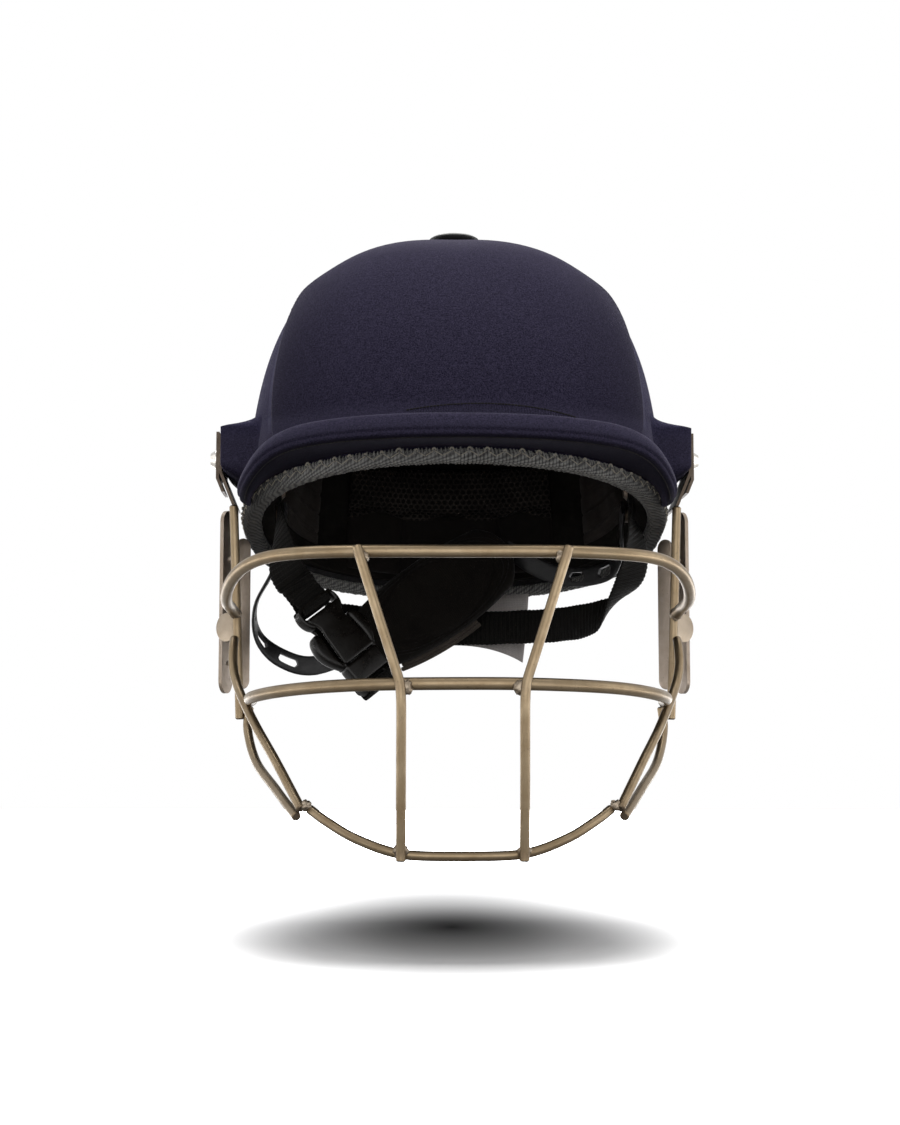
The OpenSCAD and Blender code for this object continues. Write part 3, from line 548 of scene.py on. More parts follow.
def navy_material():
    """Fine knitted jersey with a thin dark line along each crease; the side panels behind it are painted
    lighter (painted light) and the centre panel next to it is painted darker (painted shade).
    """
    g = Graph("navy_cloth", Sheen_Weight=0.17, Sheen_Roughness=0.28, Specular_IOR_Level=0.04,
              Sheen_Tint=(0.8, 0.76, 0.95, 1.0))
    u, v, at = g.coordinates()
    x, y, z = g.xyz(at)
    drift = g.noise(at, 6) * 0.9
    wale, course = (u + drift) * (1 / 1.1), (v + drift * 0.6) * (1 / 0.85)
    leg = g.math("PINGPONG", wale, 0.5) * 2
    ridge = g.wave(course + leg * 0.7, 1)
    stitches = ridge * 0.55 + g.math("SINE", leg * math.pi) * 0.45
    speck = g.noise(at, 0.5, 1) * 0.66 + g.noise(at, 1.2, 2, 0.6) * 0.14
    streak = g.noise(g.join(u * 0.22, v * 1.5), 1.1, 3, 0.6)
    g.tone = g.mix(g.step(speck + streak * 0.2, 0.37, 0.63), (0.009, 0.0078, 0.0185), (0.053, 0.046, 0.085))
    g.tint(g.step(stitches, 0.15, 0.75) * 0.22, (0.009, 0.0078, 0.018))
    fleck = g.step(g.noise(at, 0.55, 1, 0.4), 0.7, 0.78) * g.step(g.noise(at, 14), 0.42, 0.62)
    g.tint(fleck * 0.5, (0.14, 0.13, 0.15))
    high = g.math("MAXIMUM", z - CREASE_BEND_Z, 0.0)
    behind = y - CREASE_Y - (z - CREASE_Z) * CREASE_SLOPE - high * high * CREASE_BEND
    reach = g.step(g.math("ABSOLUTE", x), 42, 60) * g.step(z, 26, 34) * g.step(z, 122, 104)
    # painted shade on the centre panel next to each crease, painted light on the side panel behind it, and a
    # painted highlight a little further back
    g.tint(g.step(behind, -40, -2) * g.step(behind, 0.4, -0.4) * reach * 0.62, (0.01, 0.0085, 0.018))
    g.tint(g.step(behind, 0.4, 1.6) * reach * 0.24, (0.058, 0.055, 0.12))
    g.tint(g.near(behind - 5.0, 0.6, 2.6) * reach * 0.42, (0.12, 0.115, 0.19))
    line = g.near(behind - 0.2, 0.8, 2.4)
    g.tint(line * reach * 0.85, (0.004, 0.0035, 0.009))
    # painted light: the crown is painted lighter towards its top, as a sheen
    g.tint(g.step(z, 116, 133) * 0.3, (0.11, 0.104, 0.135))
    # the peak's lip is painted lighter where it faces forward (painted light), and its underside is painted
    # dark (painted shade) and has no sheen
    up, low = g.xyz(g.node("TexCoord", out="Normal"))[2], g.step(z, 36, 28)
    g.tint(g.step(up, -0.6, -0.2) * g.step(up, 0.7, 0.2) * low * 0.2, (0.1, 0.092, 0.15))
    g.put(g.step(g.step(up, -0.2, -0.7) * low, 0, 1, 0.17, 0.0), g.shader.inputs["Sheen Weight"])
    g.tint(g.step(up, -0.55, -0.9) * low * 0.8, (0.005, 0.0044, 0.0075))
    height = stitches * 0.6 + g.noise(at, 0.35, 2, 0.7) * 0.4 - line * reach * 2.0
    g.finish(g.step(streak, 0.3, 0.7, 0.82, 0.95), height, 0.13)


def cloth_material(name, dark, light, depth=0.14, size=1.0, sheen=0.05):
    """Soft brushed or mesh cloth with a fine over and under weave."""
    g = Graph(name, Sheen_Weight=sheen, Sheen_Roughness=0.5, Specular_IOR_Level=0.06)
    u, v, at = g.coordinates()
    weave = g.wave(u, size) * g.wave(v, size)
    broad, fine = g.noise(at, 18, 3, 0.6), g.noise(at, 0.5, 2, 0.6)
    g.tone = g.mix(g.step(broad * 0.6 + fine * 0.4, 0.35, 0.68), dark, light)
    g.tint(weave * 0.45, tuple(0.45 * c for c in dark))
    g.finish(g.step(broad, 0.3, 0.7, 0.82, 0.96), 1.0 - weave * 0.7 + fine * 0.3, depth)


def plastic_material(name, colour, roughness, scuff=0.5):
    g = Graph(name, roughness, Specular_IOR_Level=0.22)
    u, v, at = g.coordinates()
    texture, wear = g.noise(at, 0.35), g.noise(at, 7, 4, 0.65)
    scratch = g.noise(g.join(*[f * s for f, s in zip(g.xyz(at), (2.4, 0.25, 0.9))]), 1.5, 2, 0.7)
    g.tone = g.mix(g.step(wear, 0.45, 0.75) * scuff, colour, tuple(min(1.0, c * 1.9 + 0.006) for c in colour))
    g.tint(g.step(scratch, 0.66, 0.72) * 0.35 * scuff, tuple(min(1.0, c * 3 + 0.02) for c in colour))
    rough = g.step(wear + texture * 0.2, 0.35, 0.85, roughness * 0.75, min(roughness * 1.35, 1))
    g.finish(rough, texture, 0.04)


def steel_material(name, colour, roughness, stain, mark=None):
    """Satin plated steel with a faint grain, tarnish and, where marked, the burn of a weld."""
    g = Graph(name, roughness, Metallic=0.85)
    u, v, at = g.coordinates()
    grain = g.noise(g.join(u * 5.0, v * 0.35), 0.8, 3, 0.6) if mark else g.noise(at, 0.5, 3, 0.6)
    cloud = g.noise(at, 11, 4, 0.62, 0.4)
    pits = g.step(g.noise(at, 1.3, 3, 0.7), 0.6, 0.7) * g.step(g.noise(at, 17), 0.45, 0.62)
    g.tone = g.mix(g.step(cloud, 0.35, 0.7), colour, tuple(c * k for c, k in zip(colour, (0.8, 0.76, 0.7))))
    g.tint(pits * 0.6, stain)
    rough = g.step(cloud * 0.6 + grain * 0.4, 0.3, 0.75, roughness * 0.8, roughness * 1.35)
    if mark:
        burnt = g.node("Attribute", out="Fac", attribute_name=mark) + (cloud - 0.5) * 0.5
        g.tint(g.step(burnt, 0.2, 0.7) * 0.5, (0.16, 0.115, 0.075))
        g.tint(g.step(burnt, 0.6, 1.0) * 0.6, (0.045, 0.036, 0.03))
        rough = rough + g.step(burnt, 0.3, 0.9, 0, 0.15)
    g.finish(rough, grain * 0.5 + pits * 0.5, 0.02)


def webbing_material():
    g = Graph("webbing", 0.75, Sheen_Weight=0.02, Sheen_Roughness=0.4, Specular_IOR_Level=0.09)
    u, v, at = g.coordinates()
    half = g.math("PINGPONG", u * (1 / 1.5), 0.5) * 2
    twill = g.wave(v + half * 0.62, 1.25) * g.step(half, 0.0, 0.25)
    height = g.wave(v, WEB_RIB) * 0.4 + twill * 0.6
    g.tone = g.mix(height, (0.001, 0.001, 0.0009), (0.0065, 0.0056, 0.0046))
    g.tint(g.step(g.noise(at, 9, 3, 0.6), 0.45, 0.8) * 0.16, (0.02, 0.017, 0.014))
    g.finish(g.step(height, 0, 1, 0.85, 0.55), height + g.noise(at, 0.3, 1) * 0.25, 0.16)


def binding_material():
    g = Graph("rim_binding", Sheen_Weight=0.08, Sheen_Roughness=0.5, Specular_IOR_Level=0.06)
    u, v, at = g.coordinates()
    yarn, broad = g.noise(g.join(u * 0.5, v * 3.0), 0.8, 3, 0.6), g.noise(at, 12, 3, 0.6)
    ridge = g.node("Attribute", out="Fac", attribute_name="ridge")
    g.tone = g.mix(g.step(ridge, 0.15, 0.85), (0.09, 0.09, 0.09), (0.6, 0.59, 0.57))
    g.tint(g.step(broad, 0.4, 0.7) * 0.4, (0.2, 0.2, 0.2))
    g.tint(g.step(yarn, 0.5, 0.75) * 0.4, (0.6, 0.59, 0.55))
    # painted shadow: the binding is painted darker towards the sides
    g.tint(g.step(g.math("ABSOLUTE", g.xyz(at)[0]), 66, 99) * 0.75, (0.045, 0.045, 0.046))
    cross = g.wave(u + v * 0.45 + yarn * 0.8, 2.3)
    g.tint(g.step(cross, 0.75, 0.1) * 0.62, (0.055, 0.055, 0.056))
    g.finish(0.9, yarn * 0.4 + cross, 0.3)


def foam_material():
    g = Graph("liner_foam", 0.95, Specular_IOR_Level=0.05)
    u, v, at = g.coordinates()
    pores = g.node("TexVoronoi", {"Vector": at, "Scale": 1 / 0.9}, out="Distance")
    g.tone = g.mix(g.step(g.noise(at, 20, 3, 0.6), 0.35, 0.7), (0.011, 0.0098, 0.0088), (0.029, 0.026, 0.023))
    g.finish(0.95, pores, 0.15)


def mesh_pad_material():
    """Spacer mesh with a honeycomb of small openings above a scalloped edge."""
    g = Graph("honeycomb_mesh", 0.85, Sheen_Weight=0.04, Sheen_Roughness=0.5, Specular_IOR_Level=0.08)
    u, v, at = g.coordinates()
    x, _, z = g.xyz(at)
    wide, high = 3.4, 5.6
    spots = [g.root(g.math("PINGPONG", u + wide * shift, wide / 2),
                    g.math("PINGPONG", v + high * shift, high / 2)) for shift in (0.0, 0.5)]
    scallop = g.math("ABSOLUTE", g.math("SINE", x * 0.085)) * 5.0
    cloth = g.step(z + scallop, 12.5, 13.5)
    hole = g.step(g.math("MINIMUM", *spots), 1.35, 0.95) * cloth
    woven = g.mix(g.step(g.noise(at, 16, 3), 0.35, 0.7), (0.034, 0.029, 0.026), (0.075, 0.064, 0.057))
    g.tone = g.mix(cloth, (0.016, 0.0135, 0.012), woven)
    g.tint(hole * 0.85, (0.004, 0.0035, 0.003))
    g.finish(0.88, 1.0 - hole + g.noise(at, 0.4, 1) * 0.2, 0.5)


for make in (navy_material, foam_material, mesh_pad_material, binding_material, webbing_material):
    make()
plastic_material("shell_plastic", (0.02, 0.02, 0.021), 0.5)
plastic_material("peak_board", (0.0075, 0.0066, 0.0085), 0.7, scuff=0.15)
plastic_material("button_plastic", (0.012, 0.012, 0.012), 0.35)
plastic_material("button_mesh", (0.8, 0.8, 0.78), 0.45, scuff=0.1)
plastic_material("buckle_plastic", (0.0048, 0.0038, 0.003), 0.28)
plastic_material("band_plastic", (0.013, 0.0125, 0.013), 0.4)
cloth_material("pad_cloth", (0.022, 0.0182, 0.016), (0.068, 0.057, 0.051))
cloth_material("forehead_cloth", (0.045, 0.038, 0.033), (0.13, 0.11, 0.098))
cloth_material("cradle_cloth", (0.0066, 0.0056, 0.0048), (0.021, 0.018, 0.0155))
cloth_material("grey_cloth", (0.62, 0.57, 0.55), (0.9, 0.85, 0.82), size=0.9, sheen=0.1)
cloth_material("piping", (0.06, 0.05, 0.042), (0.14, 0.12, 0.1), 0.1, 0.8)
cloth_material("thread", (0.6, 0.55, 0.46), (0.95, 0.9, 0.8), 0.05, 0.4)
cloth_material("dark_thread", (0.012, 0.011, 0.011), (0.03, 0.028, 0.027), 0.05, 0.4)
steel_material("plate_steel", (0.075, 0.058, 0.045), 0.45, (0.05, 0.04, 0.03))
steel_material("screw_steel", (0.62, 0.6, 0.57), 0.22, (0.2, 0.17, 0.14))
steel_material("grille_steel", (0.238, 0.181, 0.113), 0.36, (0.1, 0.075, 0.05), mark="burn")
steel_material("strip_steel", (0.3, 0.25, 0.205), 0.42, (0.12, 0.09, 0.06))
steel_material("weld_steel", (0.26, 0.215, 0.165), 0.36, (0.06, 0.045, 0.03))


# Camera, lights and floor

AIM = np.array([-2.0, 0.0, -25.6])
CAMERA_DISTANCE, CAMERA_AZ, CAMERA_EL = 950.0, math.radians(-1.3), math.radians(-6.0)
FLOOR_Z, FLOOR_REACH = -206.0, 2600.0
scene = bpy.context.scene
scene.view_settings.view_transform = "Standard"

camera = add_object("camera", bpy.data.cameras.new("camera"))
camera.data.sensor_width = 36.0
camera.data.lens = 61.73
camera.data.clip_start = 0.05
level = math.cos(CAMERA_EL)
back = np.array([math.sin(CAMERA_AZ) * level, -math.cos(CAMERA_AZ) * level, math.sin(CAMERA_EL)])
camera.location = Vector((AIM + CAMERA_DISTANCE * back) * MM)
camera.rotation_euler = Vector(back * -1).to_track_quat("-Z", "Y").to_euler()
scene.camera = camera

for name, at, aim, size, power in (("top_lamp", (0, 80, 1500), (0, 0, 0), (1300, 1000), 22),
                                   ("left_lamp", (-1400, -200, 500), (0, 0, 0), (900, 900), 2.5),
                                   ("right_lamp", (1400, -200, 500), (0, 0, 0), (900, 900), 4.2),
                                   ("front_lamp", (0, -1600, 180), (0, 0, -20), (1500, 900), 8)):
    lamp = add_object(name, bpy.data.lights.new(name, "AREA"))
    lamp.data.shape = "RECTANGLE"
    lamp.data.size, lamp.data.size_y = size[0] * MM, size[1] * MM
    lamp.data.energy = power
    lamp.location = Vector(at) * MM
    lamp.rotation_euler = (Vector(aim) - Vector(at)).to_track_quat("-Z", "Y").to_euler()

scene.world = bpy.data.worlds.new("studio")
sky = Tree(scene.world)
seen, glossy, through = sky.rays()
sky_colour = sky.mix(seen + glossy + through, (0.16, 0.16, 0.165), (1, 1, 1))
sky.node("OutputWorld", {"Surface": sky.node("Background", {"Color": sky_colour})})

floor_mesh = bpy.data.meshes.new("floor")
near_y = -FLOOR_REACH * 0.35
floor_mesh.from_pydata([(x * MM, y * MM, FLOOR_Z * MM) for x, y in (
    (-FLOOR_REACH, near_y), (FLOOR_REACH, near_y), (FLOOR_REACH, FLOOR_REACH), (-FLOOR_REACH, FLOOR_REACH))],
    [], [(0, 1, 2, 3)])
floor = add_object("floor", floor_mesh)
g = Graph("floor", 1.0, Specular_IOR_Level=0.0)
seen, glossy, through = g.rays()
x, y, _ = g.xyz(g.coordinates()[2])
far_white = g.math("POWER", g.step(g.root(x, y), 300, 2700), 1.3) * 24.0
# a soft shadow that is longer behind than in front of its core
from_core = g.root(x * (1 / 130), g.math("MAXIMUM", (y - 40.0) * (1 / 400), (40.0 - y) * (1 / 280)))
near_white = from_core + g.math("POWER", from_core, 3.0) * 1.6 + 0.06
seen_floor = g.math("MINIMUM", near_white, 4.0) + far_white
# painted shadow: in reflections the floor is painted darker under the helmet
mirrored_floor = g.step(from_core, 0.2, 1.0, 0.42, 0.66) + far_white
g.tone = g.mix(glossy + through, (0.14, 0.14, 0.14), g.join(*[mirrored_floor] * 3))
g.tint(seen, g.join(*[seen_floor] * 3))
g.finish()
floor_mesh.materials.append(g.material)


# Cloth cover of the shell

def cover_columns():
    """Angles of the cover's columns, closer together at the creases and the side mounts."""
    half = [*np.arange(0, 46, 1.2), *np.arange(46, 112, 0.6), *np.arange(112, 180, 1.6)]
    return np.array(half + [180] + [360 - a for a in half[:0:-1]])


def cover_rows(th, d, straight, crown):
    """Heights from the rim to the vent for each column."""
    rim = rim_z(th)[None, :]
    low = rim + (COVER_WALL_TOP - rim) * np.linspace(0, 1, straight)[:, None]
    return np.concatenate([low, crown_rows(d, COVER_WALL_TOP, crown) + 0 * rim])


def build_cover():
    th = cover_columns()
    rim = rim_z(th)[None, :]

    def surface(d):
        z = cover_rows(th, d, 88, 34)
        p = shell_point(th[None, :], z, d)
        tilt = (np.clip(z / CROWN_H, 0, 1) * 1.2)[..., None]
        out = unit(p * [1, 1, 0]) * np.cos(tilt) + np.array([0, 0, 1]) * np.sin(tilt)
        lift = crease_lift(p) + 0.12 * ripple(p, 38, 3) * ramp(z, rim, rim + 12)
        lift[-1] = 0
        return p + out * lift[..., None]

    outer = surface(0)
    closed = np.concatenate([outer, outer[:, :1]], axis=1)
    u, v = np.zeros(closed.shape[:2]), np.zeros(closed.shape[:2])
    u[:, 1:] = np.cumsum(norm(np.diff(closed, axis=1), axis=2), axis=1)
    v[1:] = np.cumsum(norm(np.diff(closed, axis=0), axis=2), axis=0)
    # the centre panel's stitches run from the front and the side panels' from the rear
    from_front = np.where(np.append(th < 180, False)[None, :], u, u - u[:, -1:])
    from_rear = u - u[:, [int(np.argmin(abs(th - 180)))]] + 400
    u = np.where(closed[..., 1] < crease_y(closed[..., 2]), from_front, from_rear)
    form = Form().slab(outer, surface(CLOTH_T), wrap=True, uv=(u, v + rim_z(np.append(th, 360))[None, :]))
    form.object("cloth_cover", "navy_cloth", replaces="shell_cover", sharp=60)


def build_hard_shell():
    """The moulded shell under the cloth, whose edge and pockets show from inside."""
    th = cover_columns()[None, ::2]
    outer, inner = (shell_point(th, cover_rows(th[0], d, 44, 20), d, d) for d in (SHELL_D + 0.2, SHELL_IN_D))
    form = Form().slab(outer, inner, wrap=True)
    form.object("hard_shell", "shell_plastic", replaces="outer_shell", sharp=50)


def seam_line(points, radius, pitch, name, slot, body="shell"):
    """A row of short dark stitches lying along a line."""
    path, _ = resample(points, pitch)
    form = Form()
    for a, b in zip(path[:-1], path[1:]):
        stitch = [a + (b - a) * t for t in (0.06, 0.3, 0.7, 0.94)]
        form.tube(stitch, [radius * k for k in (0.75, 1, 1, 0.75)], sides=6)
    form.object(name, "dark_thread", body, slot)


def build_front_seam():
    """The sewn edge of the gathered strip above the peak, which the cover has on one side."""
    def seam_z(th):
        return 32.6 - 0.009 * (th - 6) ** 2

    th = np.linspace(-12, 27, 60)
    seam_line(dome(th, seam_z(th), -0.16), 0.34, 1.5, "front_seam", "navy_cloth")
    form = Form()
    for angle in np.arange(-11.5, 26.8, 0.62):
        top, low = seam_z(angle) - 0.3, lip_mid(angle) + PEAK_RISE - 1.2
        if top - low >= 1.5:
            lean = 0.15 * math.sin(angle * 9) * np.linspace(-1, 1, 5)
            deep = np.array([0.3, -0.06, -0.16, -0.1, 0.25])
            form.tube(dome(angle + lean, np.linspace(low, top, 5), deep), 0.38, sides=6)
    form.object("front_gathers", "navy_cloth")


def peak_rows(th, off):
    """The peak's section at each angle, from its root on top, round the lip, to its root below."""
    end = np.sqrt(np.clip(1 - (np.clip(np.abs(th) - 58, 0, None) / (PEAK_ANGLE + 1.6 - 58)) ** 2, 0.0, 1))
    u = (peak_at(th) - LIP_R) * (0.25 + 0.75 * end)
    z = lip_mid(th)
    r = (LIP_R - off) * (0.35 + 0.65 * end)
    top = z + (PEAK_RISE - off) * (0.5 + 0.5 * end)
    low = np.maximum(rim_z(th) + 1, z - LIP_R) + off

    def on_lip(deg, radius):
        return u + radius * math.cos(math.radians(deg)), z + radius * math.sin(math.radians(deg))

    # from the root along a hollow curve onto the lip
    (x1, z1), (x2, z2) = on_lip(100, r), on_lip(-86, r)
    cx, cz = np.maximum(u * 0.30, 0.6), (top + z1) / 2 - 1.6
    rows = [peak_point(th, (1 - t) ** 2 * 0.5 + 2 * t * (1 - t) * cx + t * t * x1,
                       (1 - t) ** 2 * top + 2 * t * (1 - t) * cz + t * t * z1) for t in np.linspace(0, 1, 14)]
    for deg in np.linspace(92, -86, 22):
        groove = 0.75 * bell(deg + 30, 7) + 0.25 * bell(deg - 18, 30)
        rows.append(peak_point(th, *on_lip(deg, r - groove * (0.5 if off else 1))))
    rows += [peak_point(th, x2 + (0.5 - x2) * t, z2 + (low - z2) * t) for t in np.linspace(0.12, 1, 8)]
    return np.array(rows)


def build_peak():
    edge = np.linspace(56, PEAK_ANGLE + 1.5, 12)
    th = np.concatenate([-edge[::-1], np.arange(-55, 55.5, 1.0), edge])
    outer, inner = peak_rows(th, 0)[::-1], peak_rows(th, CLOTH_T)[::-1]
    out = unit(outer - outer.mean(axis=0, keepdims=True))
    wave = 0.18 * ripple(outer, 26, 11) * np.sin(np.linspace(0, math.pi, len(outer)))[:, None]
    form = Form().slab(outer + out * wave[..., None], inner)
    form.object("peak_cloth", "navy_cloth", replaces="peak_cover", sharp=60)
    # the stitched line in the groove under the lip
    th = np.linspace(-54, 54, 160)
    a, r = math.radians(-74), LIP_R + 0.1
    line = peak_point(th, peak_at(th) - LIP_R + r * math.cos(a), lip_mid(th) + r * math.sin(a))
    seam_line(line, 0.24, 2.1, "peak_stitches", "navy_cloth")


# Knitted binding of the rim

def rim_stations(step):
    """Angles about step millimetres apart along the rim."""
    th = np.linspace(0, 360, 2000)
    s = lengths(dome(th, rim_z(th), 0))
    at = np.linspace(0, s[-1], int(round(s[-1] / step)), endpoint=False)
    return np.interp(at, s, th), at


def build_binding():
    th, s = rim_stations(RIB / 5)
    section = round_corners([(-TRIM_OUT, -0.3), (-TRIM_OUT, -TRIM_H), (TRIM_IN, -TRIM_H), (TRIM_IN, -0.3)],
                            [1.2, 2.4, 2.4, 1.2], 5)
    outward = unit(section - section.mean(axis=0))
    index = np.floor(s / RIB).astype(int)
    rng = np.random.default_rng(5)
    jitter, skew = (rng.uniform(*span, index.max() + 1)[index] for span in ((0.6, 1.2), (-0.15, 0.15)))
    ridge = np.abs(np.sin(np.pi * s / RIB)) ** 0.7
    curl = np.exp(-((section[:, 0] + 0.2) ** 2 + (section[:, 1] + 1.2) ** 2) / 3.0)
    height = (0.72 * ridge * jitter - 0.35)[:, None] + 0.35 * (ridge * jitter)[:, None] * curl[None, :]
    d, z = (section[None, :, k] + outward[None, :, k] * height for k in (0, 1))
    points = dome(th[:, None] + skew[:, None] * (section[None, :, 1] / TRIM_H), rim_z(th)[:, None] + z, d)
    tag = np.repeat(ridge * 0.8 + 0.2 * jitter, len(section))
    uv = (np.linspace(0, 27, len(section) + 1)[None, :], np.append(s, s[-1] + RIB / 5)[:, None])
    form = Form().rings(points, loop=True, uv=uv, tag=np.concatenate([tag, tag[:len(section)]]))
    form.object("rim_binding", "rim_binding", replaces="edge_trim", sharp=80, mark="ridge")

    loops = Form()
    a = np.linspace(-0.5, 3.4, 6)
    for angle in rim_stations(RIB)[0]:
        size = rng.uniform(0.85, 1.35)
        deep = -TRIM_OUT - 0.15 - 0.75 * size * np.sin(a)
        high = -0.9 + 0.95 * size * np.cos(a) + rng.uniform(-0.15, 0.15)
        twist = angle + rng.uniform(-0.12, 0.12) + np.linspace(-0.1, 0.1, 6)
        loops.tube(dome(twist, rim_z(angle) + high, deep), 0.36, sides=6, tag=rng.uniform(0.55, 1.1))
    loops.object("binding_loops", "rim_binding", mark="ridge")

    # a light zigzag thread, whose turns at the outer edge stand up as small loops
    stitches = Form()
    th, _ = rim_stations(ZIGZAG)
    t, turn = np.linspace(0.05, 0.95, 5), np.linspace(0, math.pi, 6)
    for k, (here, there) in enumerate(zip(th, np.append(th[1:], th[0] + 360))):
        high, low = (-1.0, -3.4) if k % 2 else (-3.4, -1.0)
        stitches.tube(dome(here + (there - here) * t, rim_z(here) + high + (low - high) * t,
                           -TRIM_OUT - 0.6 - 0.3 * np.sin(np.pi * t)), 0.22, sides=6)
        if k % 2:
            size = rng.uniform(0.45, 1.3)
            top = rim_z(here) - 0.9 + 1.1 * size * np.sin(turn)
            stitches.tube(dome(here + 0.45 * size * np.cos(turn), top, -TRIM_OUT - 1.3), 0.42, sides=6)
    stitches.object("binding_stitches", "thread", slot="rim_binding")


# Liner and pads

def build_liner():
    th = np.arange(0, 360, 4.0)
    low = rim_z(th)[None, :] + 3

    def layer(d):
        z = low + (LINER_WALL_TOP - low) * np.linspace(0, 1, 30)[:, None]
        p = dome(th[None, :], np.concatenate([z, crown_rows(d, LINER_WALL_TOP, 12) + 0 * low]), d)
        p[-1] = on_ray(th, VENT_R, CROWN_H - d)
        return p

    channels = 0.5 * (1 + np.cos(np.radians(th) * 10)) ** 6 / 64
    form = Form().slab(layer(LINER_D), layer(LINER_IN_D) * (1 + 0.0035 * channels[None, :, None]), wrap=True)
    form.object("foam_lining", "liner_foam", replaces="foam_liner", sharp=60)


def swell(u, v, n, m):
    """Fullness of a stuffed piece, 1 in its middle and 0 at its edges."""
    return (np.clip(1 - np.abs(u) ** n, 0, 1) * np.clip(1 - np.abs(v) ** m, 0, 1)) ** 0.5


def pillow(u, v, n, grooves):
    return np.clip(0.16 + 0.84 * swell(u, v, n, n) - grooves, 0.12, 1)


def pad_form(name, node, look, span, above_rim, top, profile, columns, rows, seed):
    """A stuffed pad on the liner's inside; profile gives its fullness over u and v from -1 to 1."""
    th = np.linspace(*span, columns)[None, :]
    f = np.linspace(0, 1, rows)[:, None]
    low = rim_z(th) + above_rim
    z = low + (top - low) * f
    full = profile(half_row(columns) + 0 * f, 2 * f - 1 + 0 * th)
    front = dome(th, z, PADS_D + PAD_T * full)
    swollen = -0.35 * ripple(front, 13, seed) * np.clip(full, 0, 1)
    front = front + unit(front * [1, 1, 0]) * swollen[..., None]
    form = Form().slab(dome(th, z, PADS_D + 0.02), front)
    form.object(name, look, slot="pad_cloth", replaces=node, sharp=50)
    return front


def build_pads():
    def forehead(u, v):
        return pillow(u, v, 4, 0.5 * bell(v - 0.12 + 0.25 * np.abs(u), 0.10))

    def rear(u, v):
        split = 0.55 * bell(v - 0.12 - 0.10 * np.abs(np.sin(u * 6.3)), 0.05)
        return pillow(u, v, 5, split + 0.35 * (bell(u + 0.45, 0.035) + bell(u - 0.45, 0.035)) * (v < 0.15))

    def temple(u, v):
        return pillow(u, v, 4, 0.22 * np.exp(-(np.mod(v * 2.5 + 0.5, 1) - 0.5) ** 2 / 0.004))

    front = pad_form("forehead_band", "forehead_pad", "forehead_cloth", (-52, 52), 1.5, 44,
                     forehead, 110, 40, 21)
    for percent, row in ((12, front[4, 4:-4]), (90, front[35, 4:-4])):
        seam_line(row + unit(row * [-1, -1, 0]) * 0.15, 0.25, 2.6, f"forehead_stitch_{percent}", "pad_cloth")
    pad_form("rear_mesh_pad", "rear_pad", "honeycomb_mesh", (148, 212), 6, 36, rear, 120, 70, 22)
    for side, span, seed in (("left", (226, 262), 22), ("right", (98, 134), 24)):
        pad_form(f"{side}_temple_cushion", f"{side}_temple_pad", "pad_cloth", span, 13, 42,
                 temple, 44, 48, seed)

    th = np.arange(0, 360, 3.0)
    f = np.concatenate([np.linspace(0, 0.9, 26), [0.94, 0.97, 0.99]])[:, None]

    def layer(d):
        z = CROWN_PAD_LOW + (CROWN_H - d - CROWN_PAD_LOW) * f
        return np.concatenate([dome(th[None, :], z, d), on_ray(th, VENT_R, CROWN_H - d)[None]])

    outer, inner = layer(PADS_D + 0.02), layer(PADS_D + PAD_T)
    full = 0.2 + 0.8 * np.clip(1 - np.abs(np.append(f, 1.0) * 2 - 1) ** 6, 0, 1)[:, None]
    channel = 0.45 * np.exp(-(np.mod(th / 45, 1) - 0.5) ** 2 / 0.002)[None, :]
    share = np.clip(full - channel, 0.15, 1)[..., None]
    form = Form().slab(outer, outer + (inner - outer) * share, wrap=True)
    crown = form.object("crown_cushion", "honeycomb_mesh", slot="pad_cloth", replaces="crown_pad", sharp=50)


def build_neck_flap():
    """The soft grey quilted flap that hangs inside the rear edge."""
    top, low = RIM_FRONT_Z - RIM_DROP - TRIM_H + 2, -70.0
    u, f = half_row(60), np.linspace(0, 1, 24)[:, None]
    hem = low + 10 * (1 - u * u)
    z = hem + (top - hem) * f
    th = 178 + 21 * u + 0 * f
    d = TRIM_IN + 1.7 + 0.15 * np.sin(u * 9) * (1 - f)
    form = Form().slab(dome(th, z, d), dome(th, z, d + 0.9 + 1.8 * swell(u, 2 * f - 1, 6, 6)))
    form.object("neck_cloth", "grey_cloth", replaces="neck_flap", sharp=50)


# Button

def build_button():
    a = full_turn(96)
    z0 = CROWN_H + 0.3

    def circle(r, z):
        return np.stack([r * np.cos(a), r * np.sin(a), np.full(96, z)], axis=1)

    profile = [(VENT_R - 1.2, -6.5), (VENT_R - 1.0, -0.2), (9.6, -0.1), (10.4, 0.3), (11.5, 1.2),
               (BUTTON_R - 0.2, 2.3), (BUTTON_R, 3.1), (BUTTON_R - 0.2, 3.4), (BUTTON_R - 0.9, 3.4),
               (BUTTON_R - 1.3, 3.1), (BUTTON_R - 2.0, 2.7)]
    form = Form().rings([circle(r, z0 + z) for r, z in profile])
    form.object("button_cap", "button_plastic", replaces="vent_button")
    grid = Form()
    low, top, r = z0 + 2.7, z0 + BUTTON_H - 1.5, BUTTON_R - 1.7
    for ring in (circle(r + 0.25, low + 0.1), circle(r, top)):
        grid.tube(np.concatenate([ring, ring[:2]]), 0.36, sides=8, cap=0)
    up = np.array([0, 0, 1])
    for angle in full_turn(44):
        ray = np.array([math.cos(angle), math.sin(angle), 0])
        grid.tube([ray * (r + 0.3) + up * low, ray * (r + 0.2) + up * (low + top) / 2, ray * r + up * top],
                  0.3, sides=6)
    for k in np.arange(-9.6, 9.7, 1.2):
        half = math.sqrt(max(r * r - k * k, 0.01))
        line = smooth([[k, -half, top], [k, 0, top + 0.35], [k, half, top]], 3)
        for order in ([0, 1, 2], [1, 0, 2]):
            grid.tube(line[:, order], 0.27, sides=6)
    grid.object("button_grid", "button_mesh", replaces="button_mesh")


# Grille

